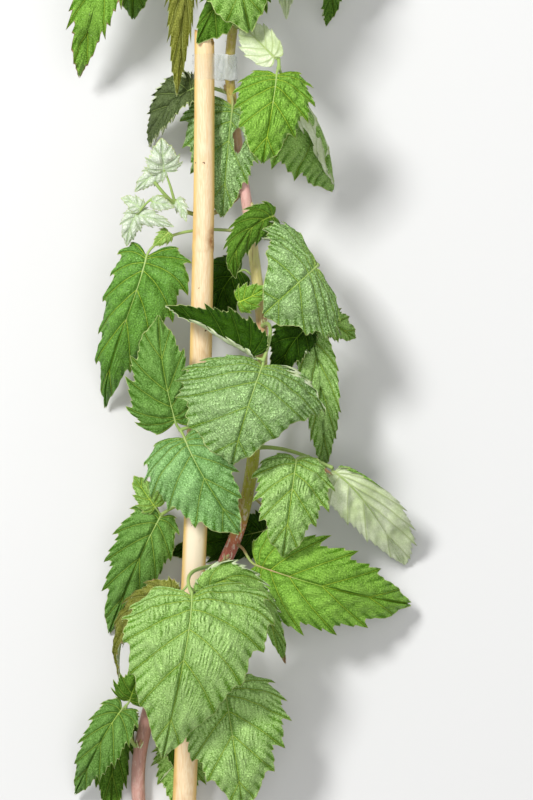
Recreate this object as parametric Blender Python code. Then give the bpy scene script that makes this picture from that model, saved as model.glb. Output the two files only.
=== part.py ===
"""Raspberry cane tied to a bamboo stake, cut off below and laid on a flat surface.

The front of the plant faces up. All tables are in millimetres: X runs to the right of the front,
Y toward the growing tip, and Z up from the surface. The meshes are in metres.
"""
import math

import bmesh
import bpy
import numpy as np

MM = 0.001
UP = np.array([0.0, 0.0, 1.0])

# Driving dimensions
STAKE_RADIUS_LOW = 5.9
STAKE_RADIUS_TOP = 4.9
CANE_RADIUS_LOW = 3.5
CANE_RADIUS_TIP = 1.1
LEAF_THICKNESS = 0.7
STALK_RADIUS = 0.95
STALK_END_GAP = 0.7
SHOOT_RADIUS_BASE, SHOOT_RADIUS_TIP = 1.3, 0.8
SHOOT_STALK_RADIUS = 0.75
TAPE_THICKNESS = 0.35
TAPE_LOW_Y, TAPE_HIGH_Y = 359.5, 373.0

for old in list(bpy.data.objects):
    bpy.data.objects.remove(old, do_unlink=True)

plant = bpy.data.objects.new("plant", None)
bpy.context.scene.collection.objects.link(plant)


def plain_material(name, colour, roughness):
    """One Principled material."""
    material = bpy.data.materials.new(name)
    material.use_nodes = True
    shader = material.node_tree.nodes["Principled BSDF"]
    shader.inputs["Base Color"].default_value = (*colour, 1.0)
    shader.inputs["Roughness"].default_value = roughness
    shader.inputs["Metallic"].default_value = 0.0
    return material


BAMBOO = plain_material("bamboo", (0.72, 0.50, 0.26), 0.45)
CANE_SKIN = plain_material("cane_skin", (0.30, 0.16, 0.12), 0.5)
STALK_SKIN = plain_material("stalk_skin", (0.33, 0.45, 0.12), 0.5)
LEAF_GREEN = plain_material("leaf_green", (0.10, 0.27, 0.06), 0.5)
LEAF_PALE = plain_material("leaf_pale", (0.45, 0.58, 0.36), 0.7)
TAPE_FILM = plain_material("tape_film", (0.80, 0.83, 0.84), 0.2)


def solid(name, points, faces, material):
    """Make one closed object from points in millimetres."""
    mesh = bpy.data.meshes.new(name)
    mesh.from_pydata([tuple(p) for p in np.asarray(points) * MM], [], faces)
    shape = bmesh.new()
    shape.from_mesh(mesh)
    bmesh.ops.recalc_face_normals(shape, faces=shape.faces)
    bmesh.ops.triangulate(shape, faces=shape.faces)
    shape.to_mesh(mesh)
    shape.free()
    mesh.materials.append(material)
    mesh.shade_smooth()
    mesh.set_sharp_from_angle(angle=math.radians(35))
    thing = bpy.data.objects.new(name, mesh)
    bpy.context.scene.collection.objects.link(thing)
    thing.parent = plant
    return thing


def unit(vectors):
    """Scale vectors to length 1."""
    return vectors / np.linalg.norm(vectors, axis=-1, keepdims=True)


def evenly(line, count, end_gap=0.0):
    """Evenly spaced points along a line of points, up to a gap before its end."""
    walked = np.r_[0, np.cumsum(np.linalg.norm(np.diff(line, axis=0), axis=1))]
    at = np.linspace(0, walked[-1] - end_gap, count)
    return np.stack([np.interp(at, walked, line[:, axis]) for axis in range(3)], axis=1)


def smooth_line(controls, count):
    """Evenly spaced points on the Bezier curve of any number of control points."""
    t = np.linspace(0, 1, 4 * count)[:, None]
    layers = [np.array(point, float)[None] + 0 * t for point in controls]
    while len(layers) > 1:
        layers = [a * (1 - t) + b * t for a, b in zip(layers, layers[1:])]
    return evenly(layers[0], count)


def through_points(points, count):
    """Evenly spaced points on a smooth curve that passes through the given ones."""
    points = np.array(points, float)
    padded = np.vstack([2 * points[0] - points[1], points, 2 * points[-1] - points[-2]])
    t = np.linspace(0, 1, 12, endpoint=False)[:, None]
    spans = []
    for a, b, c, d in zip(padded, padded[1:], padded[2:], padded[3:]):
        spans.append(0.5 * (2 * b + (c - a) * t + (2 * a - 5 * b + 4 * c - d) * t ** 2
                            + (3 * b - a - 3 * c + d) * t ** 3))
    return evenly(np.vstack(spans + [points[-1:]]), count)


def frames_along(line, roll=(0, 0), start=UP):
    """Tangent, face normal and side direction at each point of a line, without twist but the roll."""
    tangent = unit(np.gradient(line, axis=0))
    normal = [unit(start - (start @ tangent[0]) * tangent[0])]
    for direction in tangent[1:]:
        normal.append(unit(normal[-1] - (normal[-1] @ direction) * direction))
    normal = np.array(normal)
    side = np.cross(normal, tangent)
    turn = np.radians(np.linspace(roll[0], roll[1], len(line)))[:, None]
    return tangent, normal * np.cos(turn) + side * np.sin(turn), side * np.cos(turn) - normal * np.sin(turn)


def tube_rings(line, radii, sides):
    """Rings of points around a line."""
    _, normal, side = frames_along(line, start=np.array([0.3, 0.2, 1.0]))
    angle = np.arange(sides) * math.tau / sides
    return [p + r * (np.cos(angle)[:, None] * s + np.sin(angle)[:, None] * n)
            for p, r, s, n in zip(line, radii, side, normal)]


def ring_faces(rings, sides):
    """Side faces and two end caps of a stack of rings."""
    faces = [list(range(sides)), list(range((rings - 1) * sides, rings * sides))]
    for row in range(rings - 1):
        for k in range(sides):
            a, b = row * sides + k, row * sides + (k + 1) % sides
            faces.append([a, b, b + sides, a + sides])
    return faces


def tube(name, line, radii, sides, material):
    """A closed round rod."""
    rings = tube_rings(line, radii, sides)
    return solid(name, np.vstack(rings), ring_faces(len(rings), sides), material)


# Bamboo stake: its lower end lies on the surface and its upper end is held up by the leaves.

STAKE_SLOPE = 0.115
STAKE_BOTTOM_Y, STAKE_BREAK_Y = -60.0, 375.0
STAKE_BEND = [(-44.0, -60.0), (-41.0, 10.0), (-38.2, 80.0), (-35.8, 135.0), (-32.9, 225.0),
              (-31.3, 300.0), (-31.0, 345.0), (-31.0, 390.0)]
STAKE_JOINTS_Y = (-8.0, 88.0, 185.0, 277.0)
STAKE_JOINT_RIDGE, STAKE_JOINT_SPREAD = 0.35, 2.0
STAKE_JOINT_REACH = 3.5
STAKE_TAPER_Y = 135.0
STAKE_PLAIN_LEVELS_Y = (35.0, 135.0, 230.0, 320.0)
BREAK_HEIGHTS = [4.0, 2.5, 7.0, 8.5, 9.5, 8.5, 9.5, 8.0, 6.0, 6.5]


def stake_centre(y):
    """Centre of the stake at a height along it."""
    table = np.array(STAKE_BEND)
    x = np.interp(y, table[:, 1], table[:, 0])
    return np.array([x, y, STAKE_RADIUS_LOW + STAKE_SLOPE * (y - STAKE_BOTTOM_Y)])


def stake_radius(y):
    """The rod tapers, and each joint is a slight ridge."""
    taper = np.interp(y, [STAKE_BOTTOM_Y, STAKE_TAPER_Y, STAKE_BREAK_Y],
                      [STAKE_RADIUS_LOW, STAKE_RADIUS_LOW, STAKE_RADIUS_TOP])
    ridges = [math.exp(-((y - joint) / STAKE_JOINT_SPREAD) ** 2) for joint in STAKE_JOINTS_Y]
    return taper + STAKE_JOINT_RIDGE * sum(ridges)


def build_stake():
    """A rod with a ridge at each joint and a splintered top that is broken lower on its right."""
    levels = [STAKE_BOTTOM_Y, *STAKE_PLAIN_LEVELS_Y, STAKE_BREAK_Y]
    for joint in STAKE_JOINTS_Y:
        levels += [joint - STAKE_JOINT_REACH, joint, joint + STAKE_JOINT_REACH]
    levels.sort()
    line = np.array([stake_centre(y) for y in levels])
    rings = tube_rings(line, [stake_radius(y) for y in levels], len(BREAK_HEIGHTS))
    top = rings[-1].copy()
    top[:, 1] += BREAK_HEIGHTS
    top[:, 2] += np.array(BREAK_HEIGHTS) * STAKE_SLOPE
    rings.append(top)
    return solid("bamboo_stake", np.vstack(rings), ring_faces(len(rings), len(BREAK_HEIGHTS)), BAMBOO)


# Cane: one winding stem that passes under the stake and thins out to the growing tip.

CANE_ROUTE = [(-61, -60, 3.6), (-63.5, -20, 5.0), (-65, 10, 8.0), (-62, 32, 9.0), (-57, 50, 8.6),
              (-48, 68, 8.0), (-38.5, 85, 8.0), (-28, 105, 10.5), (-18, 125, 15), (-12, 142, 18),
              (-7.5, 165, 23), (-5, 190, 28), (-2.5, 220, 31.5), (-2.5, 240, 34), (-5.5, 266, 36),
              (-9.5, 296, 37), (-14, 325, 38.5), (-17.5, 352, 43), (-18.5, 366, 47), (-17, 384, 52),
              (-13, 410, 55.5), (-9, 440, 57), (-5, 470, 56), (-2, 492, 52), (0, 508, 46)]
CANE_RADII = [(0, CANE_RADIUS_LOW), (0.3, 3.4), (0.6, 2.75), (0.85, 2.3), (1.0, CANE_RADIUS_TIP)]
CANE_SWELLING, CANE_SWELLING_EVERY = 0.15, 3
CANE_RINGS, CANE_SIDES = 34, 8


def build_cane():
    """A rod that swells slightly where the leaves grew."""
    line = through_points(CANE_ROUTE, CANE_RINGS)
    radii = np.interp(np.linspace(0, 1, CANE_RINGS), *np.array(CANE_RADII).T)
    radii[1::CANE_SWELLING_EVERY] += CANE_SWELLING
    return tube("cane", line, radii, CANE_SIDES, CANE_SKIN)


# Tape: one loop of clear film pulled around the stake and the cane.

TAPE_CANE_CENTRE = np.array([-18.4, 46.8])
TAPE_CANE_RADIUS = 2.8
TAPE_STAKE_GAP, TAPE_CANE_GAP = 1.1, 1.4
TAPE_ARC_POINTS = 6


def build_tape():
    """A band whose outline is the outer tangent of two circles."""
    middle = 0.5 * (TAPE_LOW_Y + TAPE_HIGH_Y)
    stake = stake_centre(middle)[[0, 2]]
    join = math.atan2(*(TAPE_CANE_CENTRE - stake)[::-1])
    reach = [stake_radius(middle) + TAPE_STAKE_GAP, TAPE_CANE_RADIUS + TAPE_CANE_GAP]
    lean = math.asin((reach[0] - reach[1]) / np.linalg.norm(TAPE_CANE_CENTRE - stake))
    arcs = [(stake, reach[0], join + math.pi / 2 - lean, join + 3 * math.pi / 2 + lean),
            (TAPE_CANE_CENTRE, reach[1], join - math.pi / 2 + lean, join + math.pi / 2 - lean)]
    points = []
    for grow in (0.0, TAPE_THICKNESS):
        loop = []
        for centre, radius, first, last in arcs:
            for angle in np.linspace(first, last, TAPE_ARC_POINTS):
                loop.append(centre + (radius + grow) * np.array([math.cos(angle), math.sin(angle)]))
        for y in (TAPE_LOW_Y, TAPE_HIGH_Y):
            tilt = STAKE_SLOPE * (y - middle)
            points += [(x, y, z + tilt) for x, z in loop]
    count = len(points) // 4
    low_in, high_in, low_out, high_out = [count * layer for layer in range(4)]
    faces = []
    for a, b in ((low_in, high_in), (low_out, high_out), (low_in, low_out), (high_in, high_out)):
        faces += [[a + k, a + (k + 1) % count, b + (k + 1) % count, b + k] for k in range(count)]
    return solid("tape_tie", points, faces, TAPE_FILM)


# Leaflets: each is a thin plate with a toothed outline, bent along its midrib and across it.

OUTLINE_Q = [0, 0.10, 0.24, 0.39, 0.54, 0.68, 0.80, 0.90, 1.0]
OUTLINE_U = [0, -0.07, -0.03, 0.12, 0.32, 0.53, 0.71, 0.86, 1.0]
OUTLINE_V = [0, 0.33, 0.73, 0.97, 1.00, 0.86, 0.60, 0.30, 0.0]
VEIN_U = [0, 0.0, 0.04, 0.12, 0.25, 0.41, 0.58, 0.77, 1.0]
TOOTH = 0.10
FIRST_ROW_Q, LAST_ROW_Q = 0.12, 0.93
SECTION_STEPS = 14
TURN_RAMP, TURN_FADE = 0.15, 0.1
WAVE_LAG = 1.7
RIB_POINTS = 25
STRIP_ROWS = 5
STRIP_EDGE = 0.35
STRIP_RUN_IN = 0.3
STALK_RINGS, STALK_SIDES = 7, 6
STALK_BASE_SWELLING = 1.25

DEFAULTS = dict(half=(15, 15), taper=(0, 0), skew=(0, 0), roll=(0, 0), fold=(0, 0), curl=(-25, -25),
                turn=(0, 0), turn_from=0.7, turn_span=(-1.0, 2.0), wave=0.0, waves=2.0, stalk=None,
                rows=7, columns=2, pale=False)
SIDED = ("half", "taper", "skew", "fold", "curl", "turn")


def outline_at(q):
    """Outline point (u, v) and the start of its vein on the midrib for a share of the way to the tip."""
    return [np.interp(q, OUTLINE_Q, table) for table in (OUTLINE_U, OUTLINE_V, VEIN_U)]


def blade_points(leaf, u, v):
    """Map shares of the length and of the half width to points in space."""
    line, tangent, normal, side = leaf["line"], *leaf["frames"]
    length = np.linalg.norm(np.diff(line, axis=0), axis=1).sum()
    half, taper, skew, fold, curl, turn = [np.where(v > 0, leaf[key][1], leaf[key][0]) for key in SIDED]
    flat_u, u = u, u - skew * np.abs(v)
    at = np.clip(u, 0, 1) * (len(line) - 1)
    place, along, face, across = [
        np.stack([np.interp(at, np.arange(len(line)), table[:, axis]) for axis in range(3)], axis=-1)
        for table in (line, tangent, normal, side)]
    place = place + along * (np.minimum(u, 0) * length)[..., None]
    half = half * (1 - taper * np.clip(flat_u, 0, 1))
    reach = np.abs(v)
    steps = (np.arange(SECTION_STEPS) + 0.5) / SECTION_STEPS
    share = reach[..., None] * steps
    first, last = leaf["turn_span"]
    inside = np.clip((flat_u - first) / TURN_FADE, 0, 1) * np.clip((last - flat_u) / TURN_FADE, 0, 1)
    bend = (fold[..., None] + curl[..., None] * share
            + (turn * inside)[..., None] * np.clip((share - leaf["turn_from"]) / TURN_RAMP, 0, 1))
    bend = np.radians(bend)
    out = half * reach * np.cos(bend).mean(axis=-1)
    lift = half * reach * np.sin(bend).mean(axis=-1)
    lift = lift + leaf["wave"] * reach ** 2 * np.sin(math.tau * leaf["waves"] * u + WAVE_LAG * np.sign(v))
    points = place + across * (np.sign(v) * out)[..., None] + face * lift[..., None]
    points[..., 2] = np.maximum(points[..., 2], LEAF_THICKNESS / 2)
    return points


def blade_normals(leaf, u, v, step=0.02):
    """Upward direction of the bent blade."""
    along = blade_points(leaf, u + step, v) - blade_points(leaf, u - step, v)
    across = blade_points(leaf, u, v + step) - blade_points(leaf, u, v - step)
    return unit(np.cross(along, across))


def leaf_surface(leaf):
    """Middle surface of the blade: points in (u, v), and faces with a notch between the teeth."""
    rows, columns = leaf["rows"], leaf["columns"]
    q = np.linspace(FIRST_ROW_Q, LAST_ROW_Q, rows)
    u_edge, v_edge, u_rib = outline_at(q)
    u_rib[0] = 0.0
    flat = []
    for ue, ve, ur in zip(u_edge, v_edge, u_rib):
        half_row = [(ur + (ue - ur) * s, ve * s) for s in np.linspace(0, 1, columns + 1)]
        flat += [(u, -v) for u, v in half_row[:0:-1]] + half_row
    ue, ve, ur = outline_at(0.5 * (q[1:] + q[:-1]))
    notches = list(zip(ur + (ue - ur) * (1 - TOOTH), ve * (1 - TOOTH)))
    first_left = len(flat)
    first_right = first_left + len(notches)
    flat += [(u, -v) for u, v in notches] + notches + [(1.0, 0.0)]
    width = 2 * columns + 1
    faces = []
    for row in range(rows - 1):
        a, b = row * width, (row + 1) * width
        for k in range(width - 1):
            corners = [a + k, a + k + 1, b + k + 1, b + k]
            if k == width - 2:
                corners.insert(2, first_right + row)
            if k == 0:
                corners.append(first_left + row)
            faces.append(corners)
    last = (rows - 1) * width
    faces += [[last + k, last + k + 1, len(flat) - 1] for k in range(width - 1)]
    return np.array(flat), faces, columns


def stalk_strip(leaf):
    """Rows of three points along a leaf's own stalk, ending just before the blade."""
    base = np.array(leaf["rib"][0], float)
    run_in = base + STRIP_RUN_IN * (base - np.array(leaf["rib"][1], float))
    line = smooth_line([*leaf["stalk"], run_in, base], STRIP_ROWS + 1)
    tangent = unit(np.gradient(line, axis=0))[:-1]
    face = leaf["frames"][1][0]
    face = unit(face - (tangent @ face)[:, None] * tangent)
    side = np.cross(face, tangent) * STALK_RADIUS
    points = np.stack([line[:-1] - side, line[:-1], line[:-1] + side], axis=1).reshape(-1, 3)
    return points, np.repeat(face, 3, axis=0)


def plate(name, middle, normal, half_thickness, faces, material):
    """A closed solid from a middle surface and its thickness."""
    count = len(middle)
    shift = normal * half_thickness[:, None]
    points = np.vstack([middle + shift, middle - shift])
    points[:, 2] = np.maximum(points[:, 2], 0.0)
    once = {}
    for face in faces:
        for a, b in zip(face, face[1:] + face[:1]):
            if (b, a) in once:
                del once[(b, a)]
            else:
                once[(a, b)] = True
    closed = [list(face) for face in faces] + [[k + count for k in reversed(face)] for face in faces]
    closed += [[b, a, a + count, b + count] for a, b in once]
    return solid(name, points, closed, material)


def build_leaflet(name, **own):
    """One leaflet, with its stalk in the same piece if it has one of its own."""
    leaf = dict(DEFAULTS, **own)
    leaf["line"] = smooth_line(leaf["rib"], RIB_POINTS)
    leaf["frames"] = frames_along(leaf["line"], leaf["roll"])
    flat, faces, columns = leaf_surface(leaf)
    middle = blade_points(leaf, *flat.T)
    normal = blade_normals(leaf, *flat.T)
    half_thickness = np.full(len(middle), LEAF_THICKNESS / 2)
    if leaf["stalk"]:
        points, face = stalk_strip(leaf)
        first = len(middle)
        middle, normal = np.vstack([middle, points]), np.vstack([normal, face])
        half_thickness = np.r_[half_thickness, np.tile([STRIP_EDGE, STALK_RADIUS, STRIP_EDGE], STRIP_ROWS)]
        for row in range(STRIP_ROWS - 1):
            a, b = first + 3 * row, first + 3 * row + 3
            faces += [[a, a + 1, b + 1, b], [a + 1, a + 2, b + 2, b + 1]]
        a = first + 3 * (STRIP_ROWS - 1)
        faces += [[a, a + 1, columns, columns - 1], [a + 1, a + 2, columns + 1, columns]]
    return plate(name, middle, normal, half_thickness, faces, LEAF_PALE if leaf["pale"] else LEAF_GREEN)


def build_stalk(name, route):
    """The stalk of a compound leaf, from just off the cane to its end leaflet."""
    line = evenly(smooth_line(route, 5 * STALK_RINGS), STALK_RINGS, STALK_END_GAP)
    radii = STALK_RADIUS * np.linspace(STALK_BASE_SWELLING, 1.0, STALK_RINGS)
    return tube(name, line, radii, STALK_SIDES, STALK_SKIN)


# Leaves, from the growing tip down. Each rib runs from the end of the stalk to the tip of the leaflet.
# Pairs are for the two sides of the rib: the second is the right one when a leaflet hangs down with its
# upper side to the front.

STALKS = {
    "leaf_04": [(-4.2, 456, 57), (8, 462, 66), (20, 464, 60), (27, 452, 51)],
    "leaf_05": [(-14.2, 427, 56.2), (-34, 450, 70), (-68, 460, 60), (-71, 439, 51)],
    "leaf_06": [(-12, 418, 59.8), (-14, 440, 70), (-16, 458, 84), (-17, 453, 92)],
    "leaf_07": [(-14.5, 386, 55), (-6, 386, 60), (8, 379, 67), (6, 364, 79)],
    "leaf_08": [(-21, 354, 40.5), (-27, 358, 39), (-36, 357, 42)],
    "leaf_09": [(-6.3, 294, 39), (4, 288, 45.6), (17.5, 279, 49), (25.3, 267, 68)],
    "leaf_12": [(0.9, 244, 35), (8, 246, 38), (16, 240, 40), (22, 235.5, 41)],
    "leaf_13": [(-1.5, 237, 37.8), (4, 244, 56), (3, 230, 72), (-2, 219, 77)],
    "leaf_14": [(-5.5, 192, 32), (-14, 194, 48), (-32, 189, 46), (-43, 185, 49)],
    "leaf_15": [(-2.3, 176, 25.6), (8, 178, 34), (20, 172, 42), (33, 166, 42)],
    "leaf_16": [(-14.5, 147, 16.5), (-28, 152, 13), (-44, 150, 18), (-53, 142, 25)],
    "leaf_19": [(-22, 118, 17), (-23, 114, 44), (-46, 121, 56), (-37, 104, 78)],
    "leaf_22": [(-69, 25, 10.5), (-70, 32, 23), (-71, 46, 26)],
}

LEAFLETS = {
    "leaf_01": dict(rib=[(-1, 513, 46), (2, 526, 50), (5, 546, 38)], half=(8, 8), fold=(35, 35),
                    stalk=[(0, 510.5, 45.2)], rows=5, columns=1),
    "leaf_02": dict(rib=[(-28, 494, 50), (-42, 492, 52), (-56, 480, 36)], half=(12, 13), fold=(20, 25),
                    stalk=[(-7, 478, 54), (-14, 490, 58)], rows=5, columns=1),
    "leaf_04_end": dict(rib=[(28, 450, 50), (37, 430, 50), (33, 406, 32), (30, 389, 6)], half=(13, 13),
                        fold=(40, 40), rows=6, columns=1),
    "leaf_04_side": dict(rib=[(20, 453, 56), (12, 438, 66), (8, 412, 60), (10, 390, 46)], half=(12, 11),
                         roll=(180, 180), fold=(-20, -20), rows=6, columns=1, pale=True),
    "leaf_05_end": dict(rib=[(-71, 438, 50), (-80, 412, 58), (-92, 386, 38), (-94.5, 362, 16)],
                        half=(17, 15), roll=(-10, 20), fold=(20, 30), curl=(-30, -20)),
    "leaf_05_side_a": dict(rib=[(-67, 436, 46), (-66, 420, 44), (-68, 400, 36), (-67, 392, 20)],
                           half=(15, 16), roll=(10, -10), curl=(-35, -30), rows=6, columns=1),
    "leaf_05_side_b": dict(rib=[(-74, 442, 43), (-88, 450, 43), (-106, 446, 26)], half=(15, 14),
                           curl=(-30, -30), rows=6, columns=1),
    "leaf_05_side_c": dict(rib=[(-41.5, 437, 59), (-39, 412, 60), (-43, 382, 56), (-45, 351, 44)],
                           half=(11, 8), roll=(15, 5), fold=(15, 20), curl=(-20, -20),
                           stalk=[(-41.8, 445, 61)], rows=6, columns=1),
    "leaf_06_end": dict(rib=[(-17, 451, 92), (-16, 428, 96), (-13, 402, 93), (-8, 382, 79)],
                        half=(42, 32), curl=(-24, -20), wave=1.5),
    "leaf_06_side": dict(rib=[(-14, 420, 68), (-18, 406, 71), (-28, 394, 69), (-35, 377, 61.5)],
                         half=(10, 25), fold=(10, 5), curl=(-25, -15), rows=5, columns=1),
    "leaf_07_end": dict(rib=[(5, 361, 82), (4, 348, 90), (0, 330, 86), (-2, 317, 74)], half=(23, 22),
                        curl=(-45, -40), wave=1.0),
    "leaf_07_side_a": dict(rib=[(10, 358, 70), (24, 346, 56), (35, 326, 38), (33.5, 306, 3)], half=(35, 13),
                           roll=(5, 0), fold=(0, 135), curl=(-15, 10)),
    "leaf_07_side_b": dict(rib=[(4, 370, 76), (-3, 377, 75), (-13, 388, 59)], half=(9, 8), taper=(-0.5, -0.5),
                           roll=(180, 180), rows=5, columns=1, pale=True),
    "leaf_08_end": dict(rib=[(-17, 347, 49), (-19, 330, 48), (-21, 310, 42), (-22, 291, 37)],
                        half=(33, 18), roll=(-18, -14), fold=(-12, 0), curl=(-20, -10)),
    "leaf_08_side": dict(rib=[(-37, 356, 41), (-46, 353, 38), (-55, 342, 24), (-59, 328, 1)],
                         half=(14, 14), roll=(-20, -20), fold=(20, 35), curl=(-20, -20)),
    "leaf_09_end": dict(rib=[(24.6, 266, 71), (19, 261, 80), (9, 252, 81), (-2, 242, 71)], half=(37, 37),
                        skew=(0.5, -0.15), curl=(-45, -45), wave=1.5),
    "leaf_09_side": dict(rib=[(3.5, 292, 49), (-5, 290, 57), (-16, 281, 57), (-19, 268, 53),
                              (-15, 260.5, 47)], half=(10, 10), curl=(-30, -30), rows=5),
    "leaf_10": dict(rib=[(-60, 272, 46), (-65, 250, 54), (-76, 228, 38), (-83, 210, 20), (-81, 196, 2)],
                    half=(20, 29), taper=(0.45, 0.55), skew=(0, 0.04), fold=(-15, 0), curl=(-30, -30),
                    wave=1.0,
                    stalk=[(-11, 284, 34.2), (-22, 286, 31), (-44, 290, 38)]),
    "leaf_10_side": dict(rib=[(-49, 284, 45), (-52, 281, 47), (-57, 277, 46)], half=(5, 5), rows=4,
                         columns=1),
    "leaf_11": dict(rib=[(-14, 249, 47), (-8, 251, 50), (1, 257, 49)], half=(8, 9), rows=5, columns=1,
                    stalk=[(-6.7, 246, 36), (-12, 242, 40)]),
    "leaf_12_end": dict(rib=[(22.5, 233, 41), (28, 212, 44), (29, 190, 30), (29, 162, 2)], half=(12, 11),
                        fold=(30, 35), curl=(-20, -20), wave=1.5),
    "leaf_12_side_a": dict(rib=[(20, 236, 49), (14, 231, 55), (8, 222, 55), (5, 211, 48)], half=(14, 12),
                           rows=5),
    "leaf_12_side_b": dict(rib=[(27, 239.5, 41), (35, 238, 40), (45, 231, 26)], half=(9, 10), fold=(10, 10),
                           rows=5, columns=1),
    "leaf_13_end": dict(rib=[(-2, 217, 78), (-7, 204, 89), (-13, 186, 85), (-17, 168, 68)], half=(40, 48),
                        taper=(-0.3, 0.4), skew=(-0.1, 0.15), curl=(-50, -55), turn=(0, 60), turn_from=0.8,
                        turn_span=(-0.3, 0.45), wave=1.5),
    "leaf_13_side": dict(rib=[(-6.5, 221.5, 75), (-20, 230, 70), (-36, 239, 62), (-51, 247, 56)],
                         half=(17, 9), fold=(0, 70), curl=(-25, 60)),
    "leaf_14_end": dict(rib=[(-41, 181, 53), (-36, 168, 61), (-25, 150, 57), (-13, 133, 46)],
                        half=(32, 20), curl=(-55, -20), wave=1.5),
    "leaf_14_side": dict(rib=[(-45.5, 189, 51), (-50, 205, 57), (-54, 225, 55), (-54, 243, 45)],
                         half=(17, 23), curl=(-20, -35), wave=1.0),
    "leaf_15_end": dict(rib=[(15, 170, 53), (13, 158, 64), (11, 140, 61), (8, 121, 46)], half=(22, 23),
                        curl=(-35, -35), wave=1.0),
    "leaf_15_side": dict(rib=[(34, 164, 41), (45, 157, 46), (58, 138, 34), (70, 116, 2)], half=(15, 15),
                         skew=(-0.3, 0.1), roll=(180, 170), fold=(-10, -10), curl=(20, 20), pale=True),
    "leaf_16_end": dict(rib=[(-53.5, 141, 25), (-60, 130, 32), (-70, 108, 22), (-80, 81, 1)],
                        half=(18, 15), curl=(-25, -25), wave=1.0),
    "leaf_16_side": dict(rib=[(-56, 146, 28), (-61, 153, 31), (-67, 162, 24)], half=(9, 8), rows=5,
                         columns=1),
    "leaf_17": dict(rib=[(-1, 134, 11), (-16, 130, 6), (-32, 128, 1), (-51, 121, 0)], half=(13, 14),
                    rows=5, stalk=[(-5.5, 151, 18), (2, 146, 16)]),
    "leaf_18": dict(rib=[(-5, 117, 36), (15, 110, 50), (45, 101, 42), (73, 97, 8)], half=(28, 27),
                    curl=(-25, -25), wave=1.5, stalk=[(-13.3, 126, 18), (-10, 127, 28)]),
    "leaf_19_end": dict(rib=[(-37, 103, 80), (-37, 84, 95), (-45, 52, 85), (-52, 21, 52)], half=(41, 50),
                        taper=(0.4, 0.4), skew=(0, 0.1), curl=(-45, -50), wave=1.5),
    "leaf_19_side_a": dict(rib=[(-30.5, 104, 69), (-19, 119, 74), (-1, 107, 66), (9.5, 67, 36)],
                           half=(9, 12), curl=(-30, -30), wave=1.0),
    "leaf_19_side_b": dict(rib=[(-45.5, 102.5, 69), (-60, 100, 53), (-77, 90, 42), (-74, 60, 24)],
                           half=(12, 11), roll=(-20, -20), fold=(25, 25)),
    "leaf_20": dict(rib=[(-21, 57, 46), (-18, 38, 57), (-14, 15, 53), (-12, -6, 34)], half=(29, 33),
                    curl=(-40, -40), wave=1.5, stalk=[(-24, 102, 12.8), (-17, 96, 24), (-16, 76, 38)]),
    "leaf_21": dict(rib=[(-46, 47, 6.5), (-47, 30, 5.5), (-46, 12, 4)], half=(11, 10), curl=(-5, -20),
                    stalk=[(-44.7, 64, 6.5), (-46, 56, 5)], rows=5, columns=1),
    "leaf_22_end": dict(rib=[(-72.7, 44.3, 27.5), (-80, 36, 35), (-88, 19, 28), (-97, 0, 4)], half=(12, 14),
                        fold=(-10, 20), curl=(-20, -20)),
    "leaf_22_side_a": dict(rib=[(-73, 41, 18), (-78, 31, 3), (-79, 8, 0), (-78, -16, 0)],
                           half=(14, 12), roll=(28, 0), rows=5),
    "leaf_22_side_b": dict(rib=[(-69, 48.5, 27), (-66, 57, 34), (-62, 68, 30)], half=(11, 12), rows=5,
                           columns=1),
    "leaf_23": dict(rib=[(-43, 26, 0), (-43, 12, 0), (-43, -10, 0)], half=(16, 16),
                    roll=(180, 180), curl=(0, 0), rows=5, columns=1, pale=True,
                    stalk=[(-58.5, 38, 3), (-54, 30, 0.9)]),
    "leaf_24": dict(rib=[(-13, 265, 25), (-21, 262, 25), (-26, 250, 21), (-27, 234, 13)], half=(14, 15),
                    stalk=[(-8.2, 262, 33.3), (-10, 266, 28)], rows=5, columns=1),
}


# Side shoot: a thin stem from the axil behind the stake, with its bud and small leaves grown on it.

SHOOT_STEM = [(-13.9, 303, 35.5), (-22, 294, 26), (-36, 286, 32), (-46, 296, 50), (-56, 309, 53)]
SHOOT_STALKS = [
    [(-45.8, 298, 45.9), (-48, 308, 52), (-51.5, 316, 53)],
    [(-45.8, 298, 45.9), (-53, 306, 58), (-60, 300, 53), (-65, 292, 48)],
]
SHOOT_STEM_RINGS, SHOOT_STALK_RINGS = 9, 5
SHOOT_LEAFLETS = [
    dict(rib=[(-51.3, 314.5, 53), (-52, 323, 58), (-52.5, 331, 56)], half=(10, 10), fold=(0, 20)),
    dict(rib=[(-51.5, 315, 53), (-58, 313, 53), (-66, 304, 48)], half=(6, 6)),
    dict(rib=[(-63, 295.5, 50), (-67, 300, 51), (-73, 301, 48)], half=(5, 5)),
    dict(rib=[(-64.8, 293.5, 48.5), (-69, 287, 48), (-70, 277, 42)], half=(6.5, 6.5)),
    dict(rib=[(-64.8, 293, 48.3), (-57, 291, 51), (-46, 286.5, 49)], half=(5, 5)),
]


def joined(first, others):
    """Unite closed solids that grew together into one, and give it the first one's name."""
    for other in others:
        union = first.modifiers.new("grown together", "BOOLEAN")
        union.operation = "UNION"
        union.solver = "EXACT"
        union.object = other
    whole = bpy.data.meshes.new_from_object(first.evaluated_get(bpy.context.evaluated_depsgraph_get()))
    first.modifiers.clear()
    first.data = whole
    for other in others:
        bpy.data.objects.remove(other, do_unlink=True)
    return first


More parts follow.
